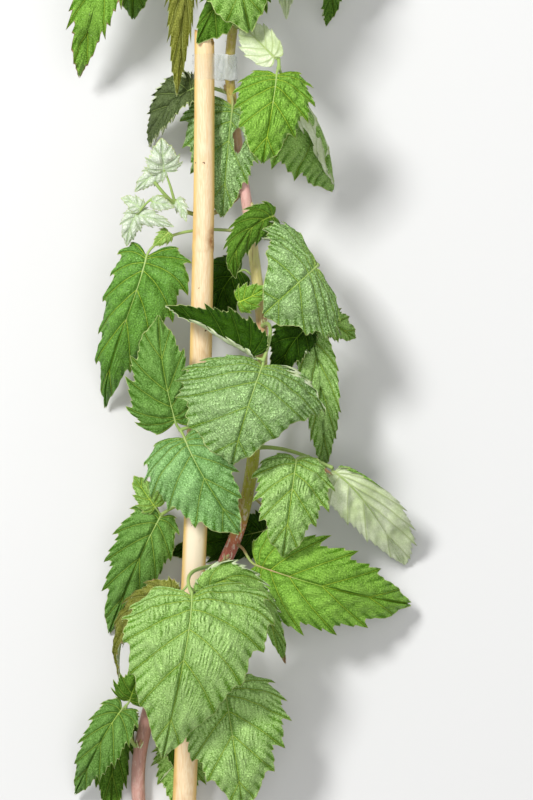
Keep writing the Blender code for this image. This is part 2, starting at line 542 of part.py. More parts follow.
def build_side_shoot():
    """Stem, two stalks and five small leaflets as one solid."""
    radii = np.linspace(SHOOT_RADIUS_BASE, SHOOT_RADIUS_TIP, SHOOT_STEM_RINGS)
    stem = tube("side_shoot", smooth_line(SHOOT_STEM, SHOOT_STEM_RINGS), radii, STALK_SIDES, STALK_SKIN)
    grown = []
    for number, route in enumerate(SHOOT_STALKS):
        line = smooth_line(route, SHOOT_STALK_RINGS)
        radii = np.full(SHOOT_STALK_RINGS, SHOOT_STALK_RADIUS)
        grown.append(tube(f"shoot stalk {number}", line, radii, STALK_SIDES - 1, STALK_SKIN))
    for number, own in enumerate(SHOOT_LEAFLETS):
        grown.append(build_leaflet(f"shoot leaflet {number}", rows=4, columns=1, pale=True, **own))
    return joined(stem, grown)


def stand_on_origin():
    """Put the middle of the plant's footprint at the origin and its lowest point at height 0."""
    bpy.context.view_layer.update()
    corners = np.array([list(vertex.co) for thing in plant.children for vertex in thing.data.vertices])
    low, high = corners.min(axis=0), corners.max(axis=0)
    plant.location = (-(low[0] + high[0]) / 2, -(low[1] + high[1]) / 2, -low[2])


build_stake()
build_cane()
build_tape()
build_side_shoot()
for leaf_name, stalk_route in STALKS.items():
    build_stalk(leaf_name + "_stalk", stalk_route)
for leaflet_name, leaflet in LEAFLETS.items():
    build_leaflet(leaflet_name, **leaflet)
stand_on_origin()
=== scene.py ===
import math

import bmesh
import bpy
import numpy as np
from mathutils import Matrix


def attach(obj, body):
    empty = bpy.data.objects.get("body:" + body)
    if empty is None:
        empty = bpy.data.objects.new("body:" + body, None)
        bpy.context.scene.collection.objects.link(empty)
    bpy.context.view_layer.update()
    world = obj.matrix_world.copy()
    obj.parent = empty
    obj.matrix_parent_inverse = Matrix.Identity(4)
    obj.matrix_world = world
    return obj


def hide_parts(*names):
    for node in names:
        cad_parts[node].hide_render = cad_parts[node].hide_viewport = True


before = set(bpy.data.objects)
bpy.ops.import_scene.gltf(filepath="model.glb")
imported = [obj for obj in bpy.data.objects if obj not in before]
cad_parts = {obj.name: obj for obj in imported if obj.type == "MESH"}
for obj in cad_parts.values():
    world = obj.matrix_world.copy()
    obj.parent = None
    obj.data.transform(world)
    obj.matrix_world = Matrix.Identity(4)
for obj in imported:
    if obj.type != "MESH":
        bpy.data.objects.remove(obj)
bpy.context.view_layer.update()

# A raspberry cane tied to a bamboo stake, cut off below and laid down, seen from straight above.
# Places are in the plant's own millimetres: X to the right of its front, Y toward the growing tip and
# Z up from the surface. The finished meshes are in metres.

# Bamboo stake
# A dry, straw-coloured rod with a faint ridge at each joint. It is sawn off below and broken off
# above, lower on its right side, where splinters stand up around the hollow.

MM = 0.001
UP = np.array([0.0, 0.0, 1.0])
PLANT_MIDDLE = np.array([-15.07, 242.74, 0.0])
STAKE_RADIUS_LOW, STAKE_RADIUS_TOP = 5.9, 4.9
STAKE_SLOPE = 0.115
STAKE_BOTTOM_Y, STAKE_TAPER_Y, STAKE_BREAK_Y = -60.0, 135.0, 375.0
STAKE_BEND = [(-44.0, -60.0), (-41.0, 10.0), (-38.2, 80.0), (-35.8, 135.0), (-32.9, 225.0),
              (-31.3, 300.0), (-31.0, 345.0), (-31.0, 390.0)]
STAKE_JOINTS_Y = (-8.0, 88.0, 185.0, 277.0)
STAKE_SCARS = [(-8.0, 1.2), (88.0, 4.0), (190.0, 2.6), (280.0, 0.3)]
STAKE_JOINT_RIDGE, STAKE_JOINT_SPREAD = 0.16, 2.2
STAKE_WALL, STAKE_HOLLOW = 1.5, 14.0
STAKE_SIDES, STAKE_LEVELS = 60, 90
BREAK_HEIGHTS = [4.0, 2.5, 7.0, 8.5, 9.5, 8.5, 9.5, 8.0, 6.0, 6.5]
BREAK_CLIMB = (0.45, 0.85, 1.0, 0.92, 0.3)
SPLINTER = 1.3
SCAR_LENGTH = 5.0


def put_down(name, data):
    """A new object in the scene."""
    thing = bpy.data.objects.new(name, data)
    bpy.context.scene.collection.objects.link(thing)
    return thing


def face_outward(mesh):
    """Turn every face of a closed mesh outward."""
    shape = bmesh.new()
    shape.from_mesh(mesh)
    bmesh.ops.recalc_face_normals(shape, faces=shape.faces)
    shape.to_mesh(mesh)
    shape.free()


def piece(name, points, faces, finishes, face_finish=None, **painted):
    """One object from points in the plant's millimetres, with its finishes and painted values."""
    mesh = bpy.data.meshes.new(name)
    mesh.from_pydata((np.asarray(points, float) - PLANT_MIDDLE) * MM, [], faces)
    for finish in finishes:
        mesh.materials.append(finish)
    if face_finish is not None:
        mesh.polygons.foreach_set("material_index", np.asarray(face_finish, np.int32))
    for title, values in painted.items():
        values = np.asarray(values, np.float32)
        kind, key = ("FLOAT", "value") if values.ndim == 1 else ("FLOAT_VECTOR", "vector")
        mesh.attributes.new(title, kind, "POINT").data.foreach_set(key, values.ravel())
    face_outward(mesh)
    mesh.shade_smooth()
    return put_down(name, mesh)


def tube_faces(rings, sides):
    """The walls between rings of points, with a face over each end."""
    ring = np.arange(sides)
    beside = (ring + 1) % sides
    wall = np.stack([ring, beside, beside + sides, ring + sides], axis=1)
    walls = np.vstack([wall + row * sides for row in range(rings - 1)])
    return walls.tolist() + [ring.tolist(), (ring + (rings - 1) * sides).tolist()]


def fasten(thing, slot, *nodes):
    """The piece belongs to the plant and stands for these solids, which it hides. The slot is not used."""
    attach(thing, "root")
    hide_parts(*nodes)


def node(tree, kind, joins=None, **settings):
    """Add a node, set its properties, and join or set its inputs by name or by position."""
    made = tree.nodes.new(kind)
    for key, value in settings.items():
        setattr(made, key, value)
    for key, value in (joins or {}).items():
        if isinstance(value, bpy.types.NodeSocket):
            tree.links.new(value, made.inputs[key])
        else:
            made.inputs[key].default_value = value
    return made


def shading(kind, joins, out=0, **settings):
    """Add a node to the finish that its joined values belong to, and give one of its outputs."""
    tree = next(value.id_data for value in joins.values() if isinstance(value, bpy.types.NodeSocket))
    return node(tree, kind, joins, **settings).outputs[out]


def noise(place, scale, detail=2.0, stretch=(1, 1, 1)):
    """Cloudy values from 0 to 1, stretched along the axes."""
    moved = shading("ShaderNodeMapping", {"Vector": place, "Scale": stretch})
    return shading("ShaderNodeTexNoise", {"Vector": moved, "Scale": scale, "Detail": detail})


def step(value, start, end):
    """0 at start, 1 at end and beyond, with a smooth change between."""
    return shading("ShaderNodeMapRange", {0: value, 1: start, 2: end}, interpolation_type="SMOOTHSTEP")


def maths(operation, a, b=0.0):
    return shading("ShaderNodeMath", {0: a, 1: b}, operation=operation)


def times(a, b):
    return maths("MULTIPLY", a, b)


def plus(a, b):
    return maths("ADD", a, b)


def mixed(share, first, second):
    """A colour between two."""
    first, second = [(*c, 1.0) if isinstance(c, tuple) else c for c in (first, second)]
    return shading("ShaderNodeMix", {0: share, 6: first, 7: second}, out=2, data_type="RGBA")


def painted_value(place, title):
    return node(place.id_data, "ShaderNodeAttribute", attribute_name=title).outputs["Fac"]


def along_plant(place):
    """The place's Y, which grows toward the growing tip."""
    return shading("ShaderNodeSeparateXYZ", {0: place}, out=1)


def bumps(height, strength, depth=0.0002):
    """Relief too fine to model, in metres."""
    return shading("ShaderNodeBump", {"Height": height, "Strength": strength, "Distance": depth})


def skin_shader(colour, roughness, normal=None, shine=0.5, sheen=0.0):
    joins = {"Base Color": colour, "Roughness": roughness, "Specular IOR Level": shine, "Sheen Weight": sheen}
    if normal is not None:
        joins["Normal"] = normal
    return shading("ShaderNodeBsdfPrincipled", joins)


def new_finish(name):
    """An empty material and the place on the piece."""
    finish = bpy.data.materials.new(name)
    finish.use_nodes = True
    finish.node_tree.nodes.clear()
    return finish, node(finish.node_tree, "ShaderNodeTexCoord").outputs["Object"]


def finished(finish, shader):
    """Close a material with its shader."""
    node(finish.node_tree, "ShaderNodeOutputMaterial", {0: shader})
    return finish


def bamboo_finish():
    """Waxy straw skin with fine grain, rust-brown stains and black specks, and painted shade that turns its
    left and right sides a deeper yellow-orange where the round rod curves away from the light.
    """
    finish, place = new_finish("bamboo skin")
    grain = noise(place, 30, 3, (60, 1, 60))
    cloud = noise(place, 30, 2, (1, 0.35, 1))
    skin = mixed(step(grain, 0.35, 0.65), (0.73, 0.52, 0.30), (0.79, 0.63, 0.41))
    skin = mixed(times(step(cloud, 0.5, 0.75), 0.7), skin, (0.76, 0.50, 0.22))
    height = along_plant(place)
    worn = times(step(height, -0.150, -0.120), step(height, -0.070, -0.095))
    skin = mixed(worn, skin, (0.80, 0.68, 0.50))
    # Painted shade: the rod's left and right sides, seen from above, are mixed toward a deeper yellow-orange.
    flank_shade = times(step(painted_value(place, "flank"), 0.55, 0.95), 0.9)
    skin = mixed(flank_shade, skin, (0.72, 0.46, 0.12))
    stain = times(step(noise(place, 90, 3, (1, 0.5, 1)), 0.62, 0.78), 0.65)
    skin = mixed(stain, skin, (0.52, 0.25, 0.08))
    speck = step(noise(place, 430, 1), 0.765, 0.80)
    skin = mixed(speck, skin, (0.10, 0.045, 0.02))
    scar = times(painted_value(place, "scar"), step(noise(place, 250, 3), 0.25, 0.65))
    skin = mixed(scar, skin, (0.30, 0.13, 0.04))
    return finished(finish, skin_shader(skin, 0.42, bumps(grain, 0.35), shine=0.4))


def stake_centre(y):
    table = np.array(STAKE_BEND)
    return np.array([np.interp(y, table[:, 1], table[:, 0]), y,
                     STAKE_RADIUS_LOW + STAKE_SLOPE * (y - STAKE_BOTTOM_Y)])


def stake_radius(y):
    """The rod tapers. Each joint is a slight ridge with a groove below it."""
    taper = np.interp(y, [STAKE_TAPER_Y, STAKE_BREAK_Y], [STAKE_RADIUS_LOW, STAKE_RADIUS_TOP])
    for joint in STAKE_JOINTS_Y:
        off = (y - joint) / STAKE_JOINT_SPREAD
        taper += STAKE_JOINT_RIDGE * (math.exp(-off ** 2) - 0.6 * math.exp(-((off + 1.6) / 0.5) ** 2))
    return taper


def build_stake():
    """The skin, the hollow at each end, and the broken rim."""
    angle = np.arange(STAKE_SIDES) * math.tau / STAKE_SIDES
    chance = np.random.default_rng(11)
    broken = np.interp(angle, np.arange(11) * math.tau / 10, BREAK_HEIGHTS + BREAK_HEIGHTS[:1])
    broken = broken + SPLINTER * chance.uniform(-1, 1, STAKE_SIDES)
    round_off = 1 + 0.02 * np.sin(2 * angle + 0.6) + 0.008 * np.sin(5 * angle)
    close = [j + d for j in STAKE_JOINTS_Y for d in np.arange(-7, 7.1, 0.7)]
    skin_levels = sorted(set(np.linspace(STAKE_BOTTOM_Y, STAKE_BREAK_Y - 4, STAKE_LEVELS)) | set(close))
    hollow = 1 - STAKE_WALL / STAKE_RADIUS_LOW
    profile = [(STAKE_BOTTOM_Y + STAKE_HOLLOW, 0.05), (STAKE_BOTTOM_Y + STAKE_HOLLOW, hollow),
               (STAKE_BOTTOM_Y + 0.3, hollow), (STAKE_BOTTOM_Y, 0.93)]
    profile += [(y, 1.0) for y in skin_levels]
    first_top = len(profile)
    profile += [(STAKE_BREAK_Y, 1.0)] * 3 + [(STAKE_BREAK_Y, 0.72)] * 2
    profile += [(STAKE_BREAK_Y - STAKE_HOLLOW, 0.70), (STAKE_BREAK_Y - STAKE_HOLLOW, 0.05)]
    climb = dict(enumerate(BREAK_CLIMB, first_top))
    rings, scar = [], []
    for row, (y, share) in enumerate(profile):
        centre, radius = stake_centre(y), stake_radius(y) * share * round_off
        lift = climb.get(row, 0.0) * broken
        rings.append(np.stack([centre[0] + radius * np.cos(angle), centre[1] + lift,
                               centre[2] + radius * np.sin(angle) + STAKE_SLOPE * lift], axis=1))
        marks = [math.exp(-((y - at) / SCAR_LENGTH) ** 2) * np.clip(np.cos(angle - way), 0, 1) ** 3
                 for at, way in STAKE_SCARS]
        end = 0.75 if share < 1 or row >= first_top + 2 else 0.0
        scar.append(np.maximum(1.5 * np.max(marks, axis=0), end))
    # The painted shade share is 1 on the rod's left and right sides and 0 on its top and underside.
    stake = piece("stake", np.vstack(rings), tube_faces(len(rings), STAKE_SIDES), [bamboo_finish()],
                  scar=np.concatenate(scar), flank=np.tile(np.abs(np.cos(angle)), len(rings)))
    fasten(stake, "bamboo", "bamboo_stake")


build_stake()

# Cane
# The raspberry stem: crimson and mauve below, olive and yellow-green where it is shaded, with pale
# corky dots and a few short prickles.

CANE_ROUTE = [(-61, -60, 3.6), (-63.5, -20, 5.0), (-65, 10, 8.0), (-62, 32, 9.0), (-57, 50, 8.6),
              (-48, 68, 8.0), (-38.5, 85, 8.0), (-28, 105, 10.5), (-18, 125, 15), (-12, 142, 18),
              (-7.5, 165, 23), (-5, 190, 28), (-2.5, 220, 31.5), (-2.5, 240, 34), (-5.5, 266, 36),
              (-9.5, 296, 37), (-14, 325, 38.5), (-17.5, 352, 43), (-18.5, 366, 47), (-17, 384, 52),
              (-13, 410, 55.5), (-9, 440, 57), (-5, 470, 56), (-2, 492, 52), (0, 508, 46)]
CANE_RADII = [(0, 3.5), (0.3, 3.4), (0.6, 2.75), (0.85, 2.3), (1.0, 1.1)]
CANE_POINTS, SPAN_POINTS = 420, 12
BARK_COLOURS = [(0.0, (0.50, 0.30, 0.24)), (0.20, (0.46, 0.23, 0.19)), (0.30, (0.42, 0.10, 0.10)),
                (0.345, (0.56, 0.18, 0.08)), (0.36, (0.30, 0.29, 0.02)), (0.43, (0.42, 0.46, 0.04)),
                (0.485, (0.58, 0.60, 0.18)), (0.515, (0.52, 0.25, 0.15)), (0.55, (0.56, 0.48, 0.18)),
                (0.585, (0.60, 0.60, 0.22)), (0.615, (0.62, 0.36, 0.30)), (0.65, (0.60, 0.32, 0.30)),
                (0.71, (0.44, 0.31, 0.07)), (0.85, (0.28, 0.38, 0.06)), (1.0, (0.30, 0.45, 0.10))]


def unit(vectors):
    return vectors / np.linalg.norm(vectors, axis=-1, keepdims=True)


def evenly(line, count):
    """Evenly spaced points along a line of points."""
    walked = np.r_[0, np.cumsum(np.linalg.norm(np.diff(line, axis=0), axis=1))]
    at = np.linspace(0, walked[-1], count)
    return np.stack([np.interp(at, walked, line[:, axis]) for axis in range(3)], axis=1)


def smooth_line(controls, count):
    """The Bezier curve of any number of control points."""
    t = np.linspace(0, 1, 4 * count)[:, None]
    layers = [np.array(point, float)[None] + 0 * t for point in controls]
    while len(layers) > 1:
        layers = [a * (1 - t) + b * t for a, b in zip(layers, layers[1:])]
    return evenly(layers[0], count)


def through_points(points, count):
    """A smooth curve that passes through the given points."""
    points = np.array(points, float)
    padded = np.vstack([2 * points[0] - points[1], points, 2 * points[-1] - points[-2]])
    t = np.linspace(0, 1, SPAN_POINTS, endpoint=False)[:, None]
    spans = []
    for a, b, c, d in zip(padded, padded[1:], padded[2:], padded[3:]):
        spans.append(0.5 * (2 * b + (c - a) * t + (2 * a - 5 * b + 4 * c - d) * t ** 2
                            + (3 * b - a - 3 * c + d) * t ** 3))
    return evenly(np.vstack(spans + [points[-1:]]), count)


def stem_tree():
    """A stem along a path: a round skin, corky dots lying on it, and prickles standing on it."""
    tree = bpy.data.node_groups.new("stem", "GeometryNodeTree")
    sockets = tree.interface
    sockets.new_socket("Geometry", in_out="INPUT", socket_type="NodeSocketGeometry")
    for title, kind, start in (("Sides", "Int", 12), ("Dots", "Float", 0.0), ("Dot Size", "Float", 0.0004),
                               ("Prickles", "Float", 0.0), ("Prickle Length", "Float", 0.001),
                               ("Prickle Radius", "Float", 0.0001), ("Seed", "Int", 1)):
        sockets.new_socket(title, in_out="INPUT", socket_type="NodeSocket" + kind).default_value = start
    for title in ("Skin", "Dot Skin", "Prickle Skin"):
        sockets.new_socket(title, in_out="INPUT", socket_type="NodeSocketMaterial")
    sockets.new_socket("Geometry", in_out="OUTPUT", socket_type="NodeSocketGeometry")
    given = node(tree, "NodeGroupInput").outputs
    radius = node(tree, "GeometryNodeInputNamedAttribute", {"Name": "radius"}, data_type="FLOAT")
    path = node(tree, "GeometryNodeMeshToCurve", {0: given["Geometry"]})
    ring = node(tree, "GeometryNodeCurvePrimitiveCircle", {"Resolution": given["Sides"], "Radius": 1.0})
    skin = node(tree, "GeometryNodeCurveToMesh", {"Curve": path.outputs[0], "Profile Curve": ring.outputs[0],
                                                  "Scale": radius.outputs[0], "Fill Caps": True})
    smooth = node(tree, "GeometryNodeSetShadeSmooth", {0: skin.outputs[0]})
    parts = [node(tree, "GeometryNodeSetMaterial", {0: smooth.outputs[0], "Material": given["Skin"]})]
    dot = node(tree, "GeometryNodeMeshIcoSphere", {"Radius": given["Dot Size"], "Subdivisions": 1})
    prickle = node(tree, "GeometryNodeMeshCone", {
        "Vertices": 5, "Radius Top": 0.0, "Radius Bottom": given["Prickle Radius"],
        "Depth": given["Prickle Length"]})
    for shape, density, finish, flat, sizes in ((dot, "Dots", "Dot Skin", 0.3, (0.5, 1.3)),
                                                (prickle, "Prickles", "Prickle Skin", 1.0, (0.5, 1.2))):
        spots = node(tree, "GeometryNodeDistributePointsOnFaces", {
            "Mesh": skin.outputs[0], "Density": given[density], "Seed": given["Seed"]})
        size = node(tree, "FunctionNodeRandomValue", {2: sizes[0], 3: sizes[1], "Seed": given["Seed"]},
                    data_type="FLOAT").outputs[1]
        scale = node(tree, "ShaderNodeCombineXYZ", {0: size, 1: size, 2: times(size, flat)})
        put = node(tree, "GeometryNodeInstanceOnPoints", {
            "Points": spots.outputs[0], "Instance": shape.outputs[0], "Rotation": spots.outputs[2],
            "Scale": scale.outputs[0]})
        real = node(tree, "GeometryNodeRealizeInstances", {0: put.outputs[0]})
        parts.append(node(tree, "GeometryNodeSetMaterial", {0: real.outputs[0], "Material": given[finish]}))
    whole = node(tree, "GeometryNodeJoinGeometry")
    for part in reversed(parts):
        tree.links.new(part.outputs[0], whole.inputs[0])
    node(tree, "NodeGroupOutput", {0: whole.outputs[0]})
    return tree


STEM_TREE = stem_tree()


def stem(name, lines, radii, **inputs):
    """Stems along lines that have the same number of points, made into one plain mesh."""
    lines, radii = np.array(lines), np.array(radii, np.float32)
    count, points = lines.shape[:2]
    path = bpy.data.meshes.new(name)
    joins = [(s * points + k, s * points + k + 1) for s in range(count) for k in range(points - 1)]
    path.from_pydata((lines.reshape(-1, 3) - PLANT_MIDDLE) * MM, joins, [])
    path.attributes.new("radius", "FLOAT", "POINT").data.foreach_set("value", radii.ravel() * MM)
    grower = put_down(name + " path", path)
    modifier = grower.modifiers.new("stem", "NODES")
    modifier.node_group = STEM_TREE
    named = {s.name: s.identifier for s in STEM_TREE.interface.items_tree if s.in_out == "INPUT"}
    for title, value in dict(inputs, Dot_Skin=CORK, Prickle_Skin=PRICKLE).items():
        modifier[named[title.replace("_", " ")]] = value
    grown = bpy.data.meshes.new_from_object(grower.evaluated_get(bpy.context.evaluated_depsgraph_get()))
    bpy.data.objects.remove(grower)
    face_outward(grown)
    return put_down(name, grown)


def cane_finish():
    """Thin bark whose colour changes along the cane, with fine pale wrinkles and darker streaks."""
    finish, place = new_finish("cane bark")
    share = shading("ShaderNodeMapRange", {0: along_plant(place), 1: -0.303, 2: 0.27})
    wobble = times(plus(noise(place, 60, 2), -0.5), 0.10)
    ramp = node(finish.node_tree, "ShaderNodeValToRGB", {0: plus(share, wobble)})
    while len(ramp.color_ramp.elements) < len(BARK_COLOURS):
        ramp.color_ramp.elements.new(0.5)
    for element, (where, colour) in zip(ramp.color_ramp.elements, BARK_COLOURS):
        element.position = where
        element.color = (*colour, 1.0)
    streak = step(noise(place, 40, 3, (30, 1, 30)), 0.5, 0.75)
    bark = mixed(times(streak, 0.6), ramp.outputs[0], (0.16, 0.07, 0.04))
    wrinkle = noise(place, 700, 3, (1, 0.35, 1))
    near_node = times(step(share, 0.26, 0.30), step(share, 0.37, 0.345))
    pale = times(step(wrinkle, 0.53, 0.62), plus(0.16, times(near_node, 0.66)))
    bark = mixed(pale, bark, (0.74, 0.60, 0.52))
    return finished(finish, skin_shader(bark, 0.5, bumps(wrinkle, 0.4, 0.0003), shine=0.45))


def fine_finish(name, first, second, roughness, scale):
    """A small soft part in two mixed colours."""
    finish, place = new_finish(name)
    cloud = noise(place, scale, 2)
    colour = mixed(step(cloud, 0.35, 0.65), first, second)
    return finished(finish, skin_shader(colour, roughness, bumps(cloud, 0.3)))


CORK = fine_finish("corky dots", (0.62, 0.48, 0.36), (0.45, 0.30, 0.22), 0.8, 900)
PRICKLE = fine_finish("prickles", (0.55, 0.35, 0.20), (0.45, 0.50, 0.22), 0.5, 900)
CANE_LINE = through_points(CANE_ROUTE, CANE_POINTS)
cane_along = np.linspace(0, 1, CANE_POINTS)
cane_radii = np.interp(cane_along, *np.array(CANE_RADII).T)
cane_radii += 0.08 * np.sin(cane_along * 61) * np.sin(cane_along * 23)
cane = stem("raspberry_cane", [CANE_LINE], [cane_radii], Sides=28, Dots=90000.0, Dot_Size=0.0002,
            Prickles=14000.0, Prickle_Length=0.0011, Prickle_Radius=0.00016, Seed=5, Skin=cane_finish())
fasten(cane, "cane_skin", "cane")

# Tape
# A strip of clear film wound twice around the stake and the cane. It is milky where it wrinkles, and its
# loose end stands off on the right.

TAPE_LOW_Y, TAPE_HIGH_Y, TAPE_EDGE = 359.5, 373.0, 0.4
CANE_AT_TAPE, CANE_RADIUS_AT_TAPE, CANE_SLOPE_AT_TAPE = np.array([-18.4, 46.8]), 2.8, 0.28
TAPE_CLEARANCE, TAPE_LAYER, TAPE_THICKNESS = 0.4, 0.28, 0.06
TAPE_TURNS = (0.55, 2.42)
LOOSE_END, LOOSE_END_FROM, LOOSE_END_SLANT = 4.0, 2.28, 3.0
TAPE_STEPS, TAPE_ACROSS, TAPE_ROUND = 220, 22, 24


def tape_finish():
    """Clear film that shines, milky where it stands off."""
    finish, place = new_finish("clear film")
    haze = step(noise(place, 260, 3, (1, 0.35, 1)), 0.35, 0.7)
    milk = mixed(haze, (0.80, 0.84, 0.81), (0.97, 0.98, 0.97))
    film = skin_shader(milk, 0.15, bumps(noise(place, 500, 3), 0.3))
    clear = node(finish.node_tree, "ShaderNodeBsdfTransparent", {0: (1.0, 1.0, 1.0, 1.0)}).outputs[0]
    stands_off = times(painted_value(place, "milky"), plus(times(haze, 0.25), 0.25))
    share = plus(times(haze, 0.02), plus(stands_off, 0.008))
    return finished(finish, shading("ShaderNodeMixShader", {0: share, 1: clear, 2: film}))


def build_tape():
    """The strip's middle surface follows the outer tangents of two circles, then gets its thickness."""
    middle = 0.5 * (TAPE_LOW_Y + TAPE_HIGH_Y)
    stake = stake_centre(middle)[[0, 2]]
    join = math.atan2(*(CANE_AT_TAPE - stake)[::-1])
    reach = [stake_radius(middle) + TAPE_CLEARANCE, CANE_RADIUS_AT_TAPE + TAPE_CLEARANCE]
    lean = math.asin((reach[0] - reach[1]) / np.linalg.norm(CANE_AT_TAPE - stake))
    quarter = math.pi / 2
    loop, outward = [], []
    for centre, radius, first, last in (
            (stake, reach[0], join + quarter - lean, join + 3 * quarter + lean),
            (CANE_AT_TAPE, reach[1], join - quarter + lean, join + quarter - lean)):
        for angle in np.linspace(first, last, TAPE_ROUND):
            outward.append((math.cos(angle), math.sin(angle)))
            loop.append(centre + radius * np.array(outward[-1]))
    loop, outward = np.array(loop + loop[:1]), np.array(outward + outward[:1])
    walked = np.r_[0, np.cumsum(np.linalg.norm(np.diff(loop, axis=0), axis=1))]
    turns = np.linspace(*TAPE_TURNS, TAPE_STEPS)
    at = (turns % 1.0) * walked[-1]
    place = np.stack([np.interp(at, walked, loop[:, axis]) for axis in (0, 1)], axis=1)
    away = unit(np.stack([np.interp(at, walked, outward[:, axis]) for axis in (0, 1)], axis=1))
    across = np.linspace(0, 1, TAPE_ACROSS)
    pleat = 0.16 * np.sin(at * 1.9)[:, None] * np.sin(across * 7 + at[:, None] * 0.3)
    pleat = pleat + 0.10 * np.sin(at[:, None] * 4.1 + across * 11)
    loose = LOOSE_END * np.clip((turns - LOOSE_END_FROM) / 0.14, 0, 1) ** 1.5
    off = TAPE_LAYER * turns[:, None] + 0 * across + np.abs(pleat) + loose[:, None]
    y = TAPE_LOW_Y + TAPE_EDGE + (TAPE_HIGH_Y - TAPE_LOW_Y - 2 * TAPE_EDGE) * across
    y = y + 0.25 * np.sin(at * 0.8)[:, None]
    x = place[:, :1] + away[:, :1] * off
    x = x - np.clip((turns[:, None] - 2.2) / 0.2, 0, 1) * LOOSE_END_SLANT * (1 - across)
    toward_cane = np.clip((place[:, :1] - stake[0]) / (CANE_AT_TAPE[0] - stake[0]), 0, 1)
    slope = STAKE_SLOPE + toward_cane * (CANE_SLOPE_AT_TAPE - STAKE_SLOPE)
    z = place[:, 1:] + away[:, 1:] * off + slope * (y - middle)
    inner = np.stack([x, y, z], axis=-1)
    outer = inner + np.stack([away[:, :1] + 0 * y, 0 * y, away[:, 1:] + 0 * y], axis=-1) * TAPE_THICKNESS
    points, faces = closed_sheet(inner, outer)
    milky = (np.clip((x - CANE_AT_TAPE[0] + 9) / 5, 0, 1) * np.clip((z - 40) / 6, 0, 1)).ravel()
    tape = piece("clear_tape", points, faces, [tape_finish()], milky=np.r_[milky, milky])
    fasten(tape, "tape_film", "tape_tie")


def closed_sheet(upper, lower, keep=None):
    """Points and faces of a thin closed sheet between two grids of points, less the cells not kept."""
    rows, columns = upper.shape[:2]
    count = rows * columns
    index = np.arange(count).reshape(rows, columns)
    cells = np.stack([index[:-1, :-1], index[:-1, 1:], index[1:, 1:], index[1:, :-1]], axis=-1)
    cells = cells[keep] if keep is not None else cells.reshape(-1, 4)
    edges = np.stack([cells, np.roll(cells, -1, axis=1)], axis=-1).reshape(-1, 2)
    _, first, uses = np.unique(np.sort(edges, axis=1), axis=0, return_index=True, return_counts=True)
    one, other = edges[first[uses == 1]].T
    rim = np.stack([other, one, one + count, other + count], axis=1)
    faces = np.vstack([cells, cells[:, ::-1] + count, rim])
    return np.vstack([upper.reshape(-1, 3), lower.reshape(-1, 3)]), faces


build_tape()

# Leaf stalks
# Thin green stalks with soft prickles, swollen where they grow out of the cane and flushed red in places.
# A pointed bud sits above each one, between two pale, thread-like stipules.

STALK_RADIUS, STALK_POINTS = 0.95, 70
BUD_POINTS, STIPULE_POINTS = 9, 12
STALKS = {
    "leaf_04": [(-4.2, 456, 57), (8, 462, 66), (20, 464, 60), (27, 452, 51)],
    "leaf_05": [(-14.2, 427, 56.2), (-34, 450, 70), (-68, 460, 60), (-71, 439, 51)],
    "leaf_06": [(-12, 418, 59.8), (-14, 440, 70), (-16, 458, 84), (-17, 453, 92)],
    "leaf_07": [(-14.5, 386, 55), (-6, 386, 60), (8, 379, 67), (6, 364, 79)],
    "leaf_08": [(-21, 354, 40.5), (-27, 358, 39), (-36, 357, 42)],
    "leaf_09": [(-6.3, 294, 39), (4, 288, 45.6), (17.5, 279, 49), (25.3, 267, 68)],
    "leaf_12": [(0.9, 244, 35), (8, 246, 38), (16, 240, 40), (22, 235.5, 41)],
    "leaf_13": [(-1.5, 237, 37.8), (4, 244, 56), (3, 230, 72), (-2, 219, 77)],
    "leaf_14": [(-5.5, 192, 32), (-14, 194, 48), (-32, 189, 46), (-43, 185, 49)],
    "leaf_15": [(-2.3, 176, 25.6), (8, 178, 34), (20, 172, 42), (33, 166, 42)],
    "leaf_16": [(-14.5, 147, 16.5), (-28, 152, 13), (-44, 150, 18), (-53, 142, 25)],
    "leaf_19": [(-22, 118, 17), (-23, 114, 44), (-46, 121, 56), (-37, 104, 78)],
    "leaf_22": [(-69, 25, 10.5), (-70, 32, 23), (-71, 46, 26)],
}


def stalk_finish():
    """Smooth green skin, flushed red in places."""
    finish, place = new_finish("stalk skin")
    flush = step(noise(place, 28, 2), 0.52, 0.75)
    skin = mixed(flush, (0.26, 0.40, 0.09), (0.36, 0.17, 0.08))
    skin = mixed(times(noise(place, 500, 2), 0.4), skin, (0.45, 0.52, 0.22))
    return finished(finish, skin_shader(skin, 0.45))


def nearest(point, line):
    """The point of a line that lies closest."""
    return line[np.argmin(np.linalg.norm(line - np.array(point, float), axis=1))]


STALK_SKIN = stalk_finish()
stalk_lines = {}
along = np.linspace(0, 1, STALK_POINTS)
stalk_radii = STALK_RADIUS * (1.1 - 0.2 * along) * (1 + 0.9 * np.exp(-along / 0.05)
                                                    + 0.25 * np.exp(-((along - 1) / 0.04) ** 2))
buds, stipules = [], []
for number, (leaf_name, route) in enumerate(STALKS.items()):
    stalk_lines[leaf_name] = smooth_line([nearest(route[0], CANE_LINE), *route], STALK_POINTS)
    stalk = stem(leaf_name + "_petiole", [stalk_lines[leaf_name]], [stalk_radii], Sides=14, Prickles=60000.0,
                 Prickle_Length=0.0009, Prickle_Radius=0.00011, Seed=20 + number, Skin=STALK_SKIN)
    fasten(stalk, "stalk_skin", leaf_name + "_stalk")

    at = int(np.argmin(np.linalg.norm(CANE_LINE - np.array(route[0]), axis=1)))
    rise = unit(CANE_LINE[at + 1] - CANE_LINE[at])
    away = np.array(route[1]) - route[0]
    away = unit(away - (away @ rise) * rise)
    beside = np.cross(rise, away)
    surface = CANE_LINE[at] + cane_radii[at] * away
    buds.append([surface + rise * (1.4 + 3.6 * t) + away * (0.9 * t - 0.2)
                 for t in np.linspace(0, 1, BUD_POINTS)])
    for way in (-1, 1):
        stipules.append([surface + away * (0.6 + 2.2 * t) + beside * way * (0.5 + 2.6 * t - 1.2 * t * t)
                         + rise * (0.3 + 6.0 * t - 2.0 * t * t) for t in np.linspace(0, 1, STIPULE_POINTS)])
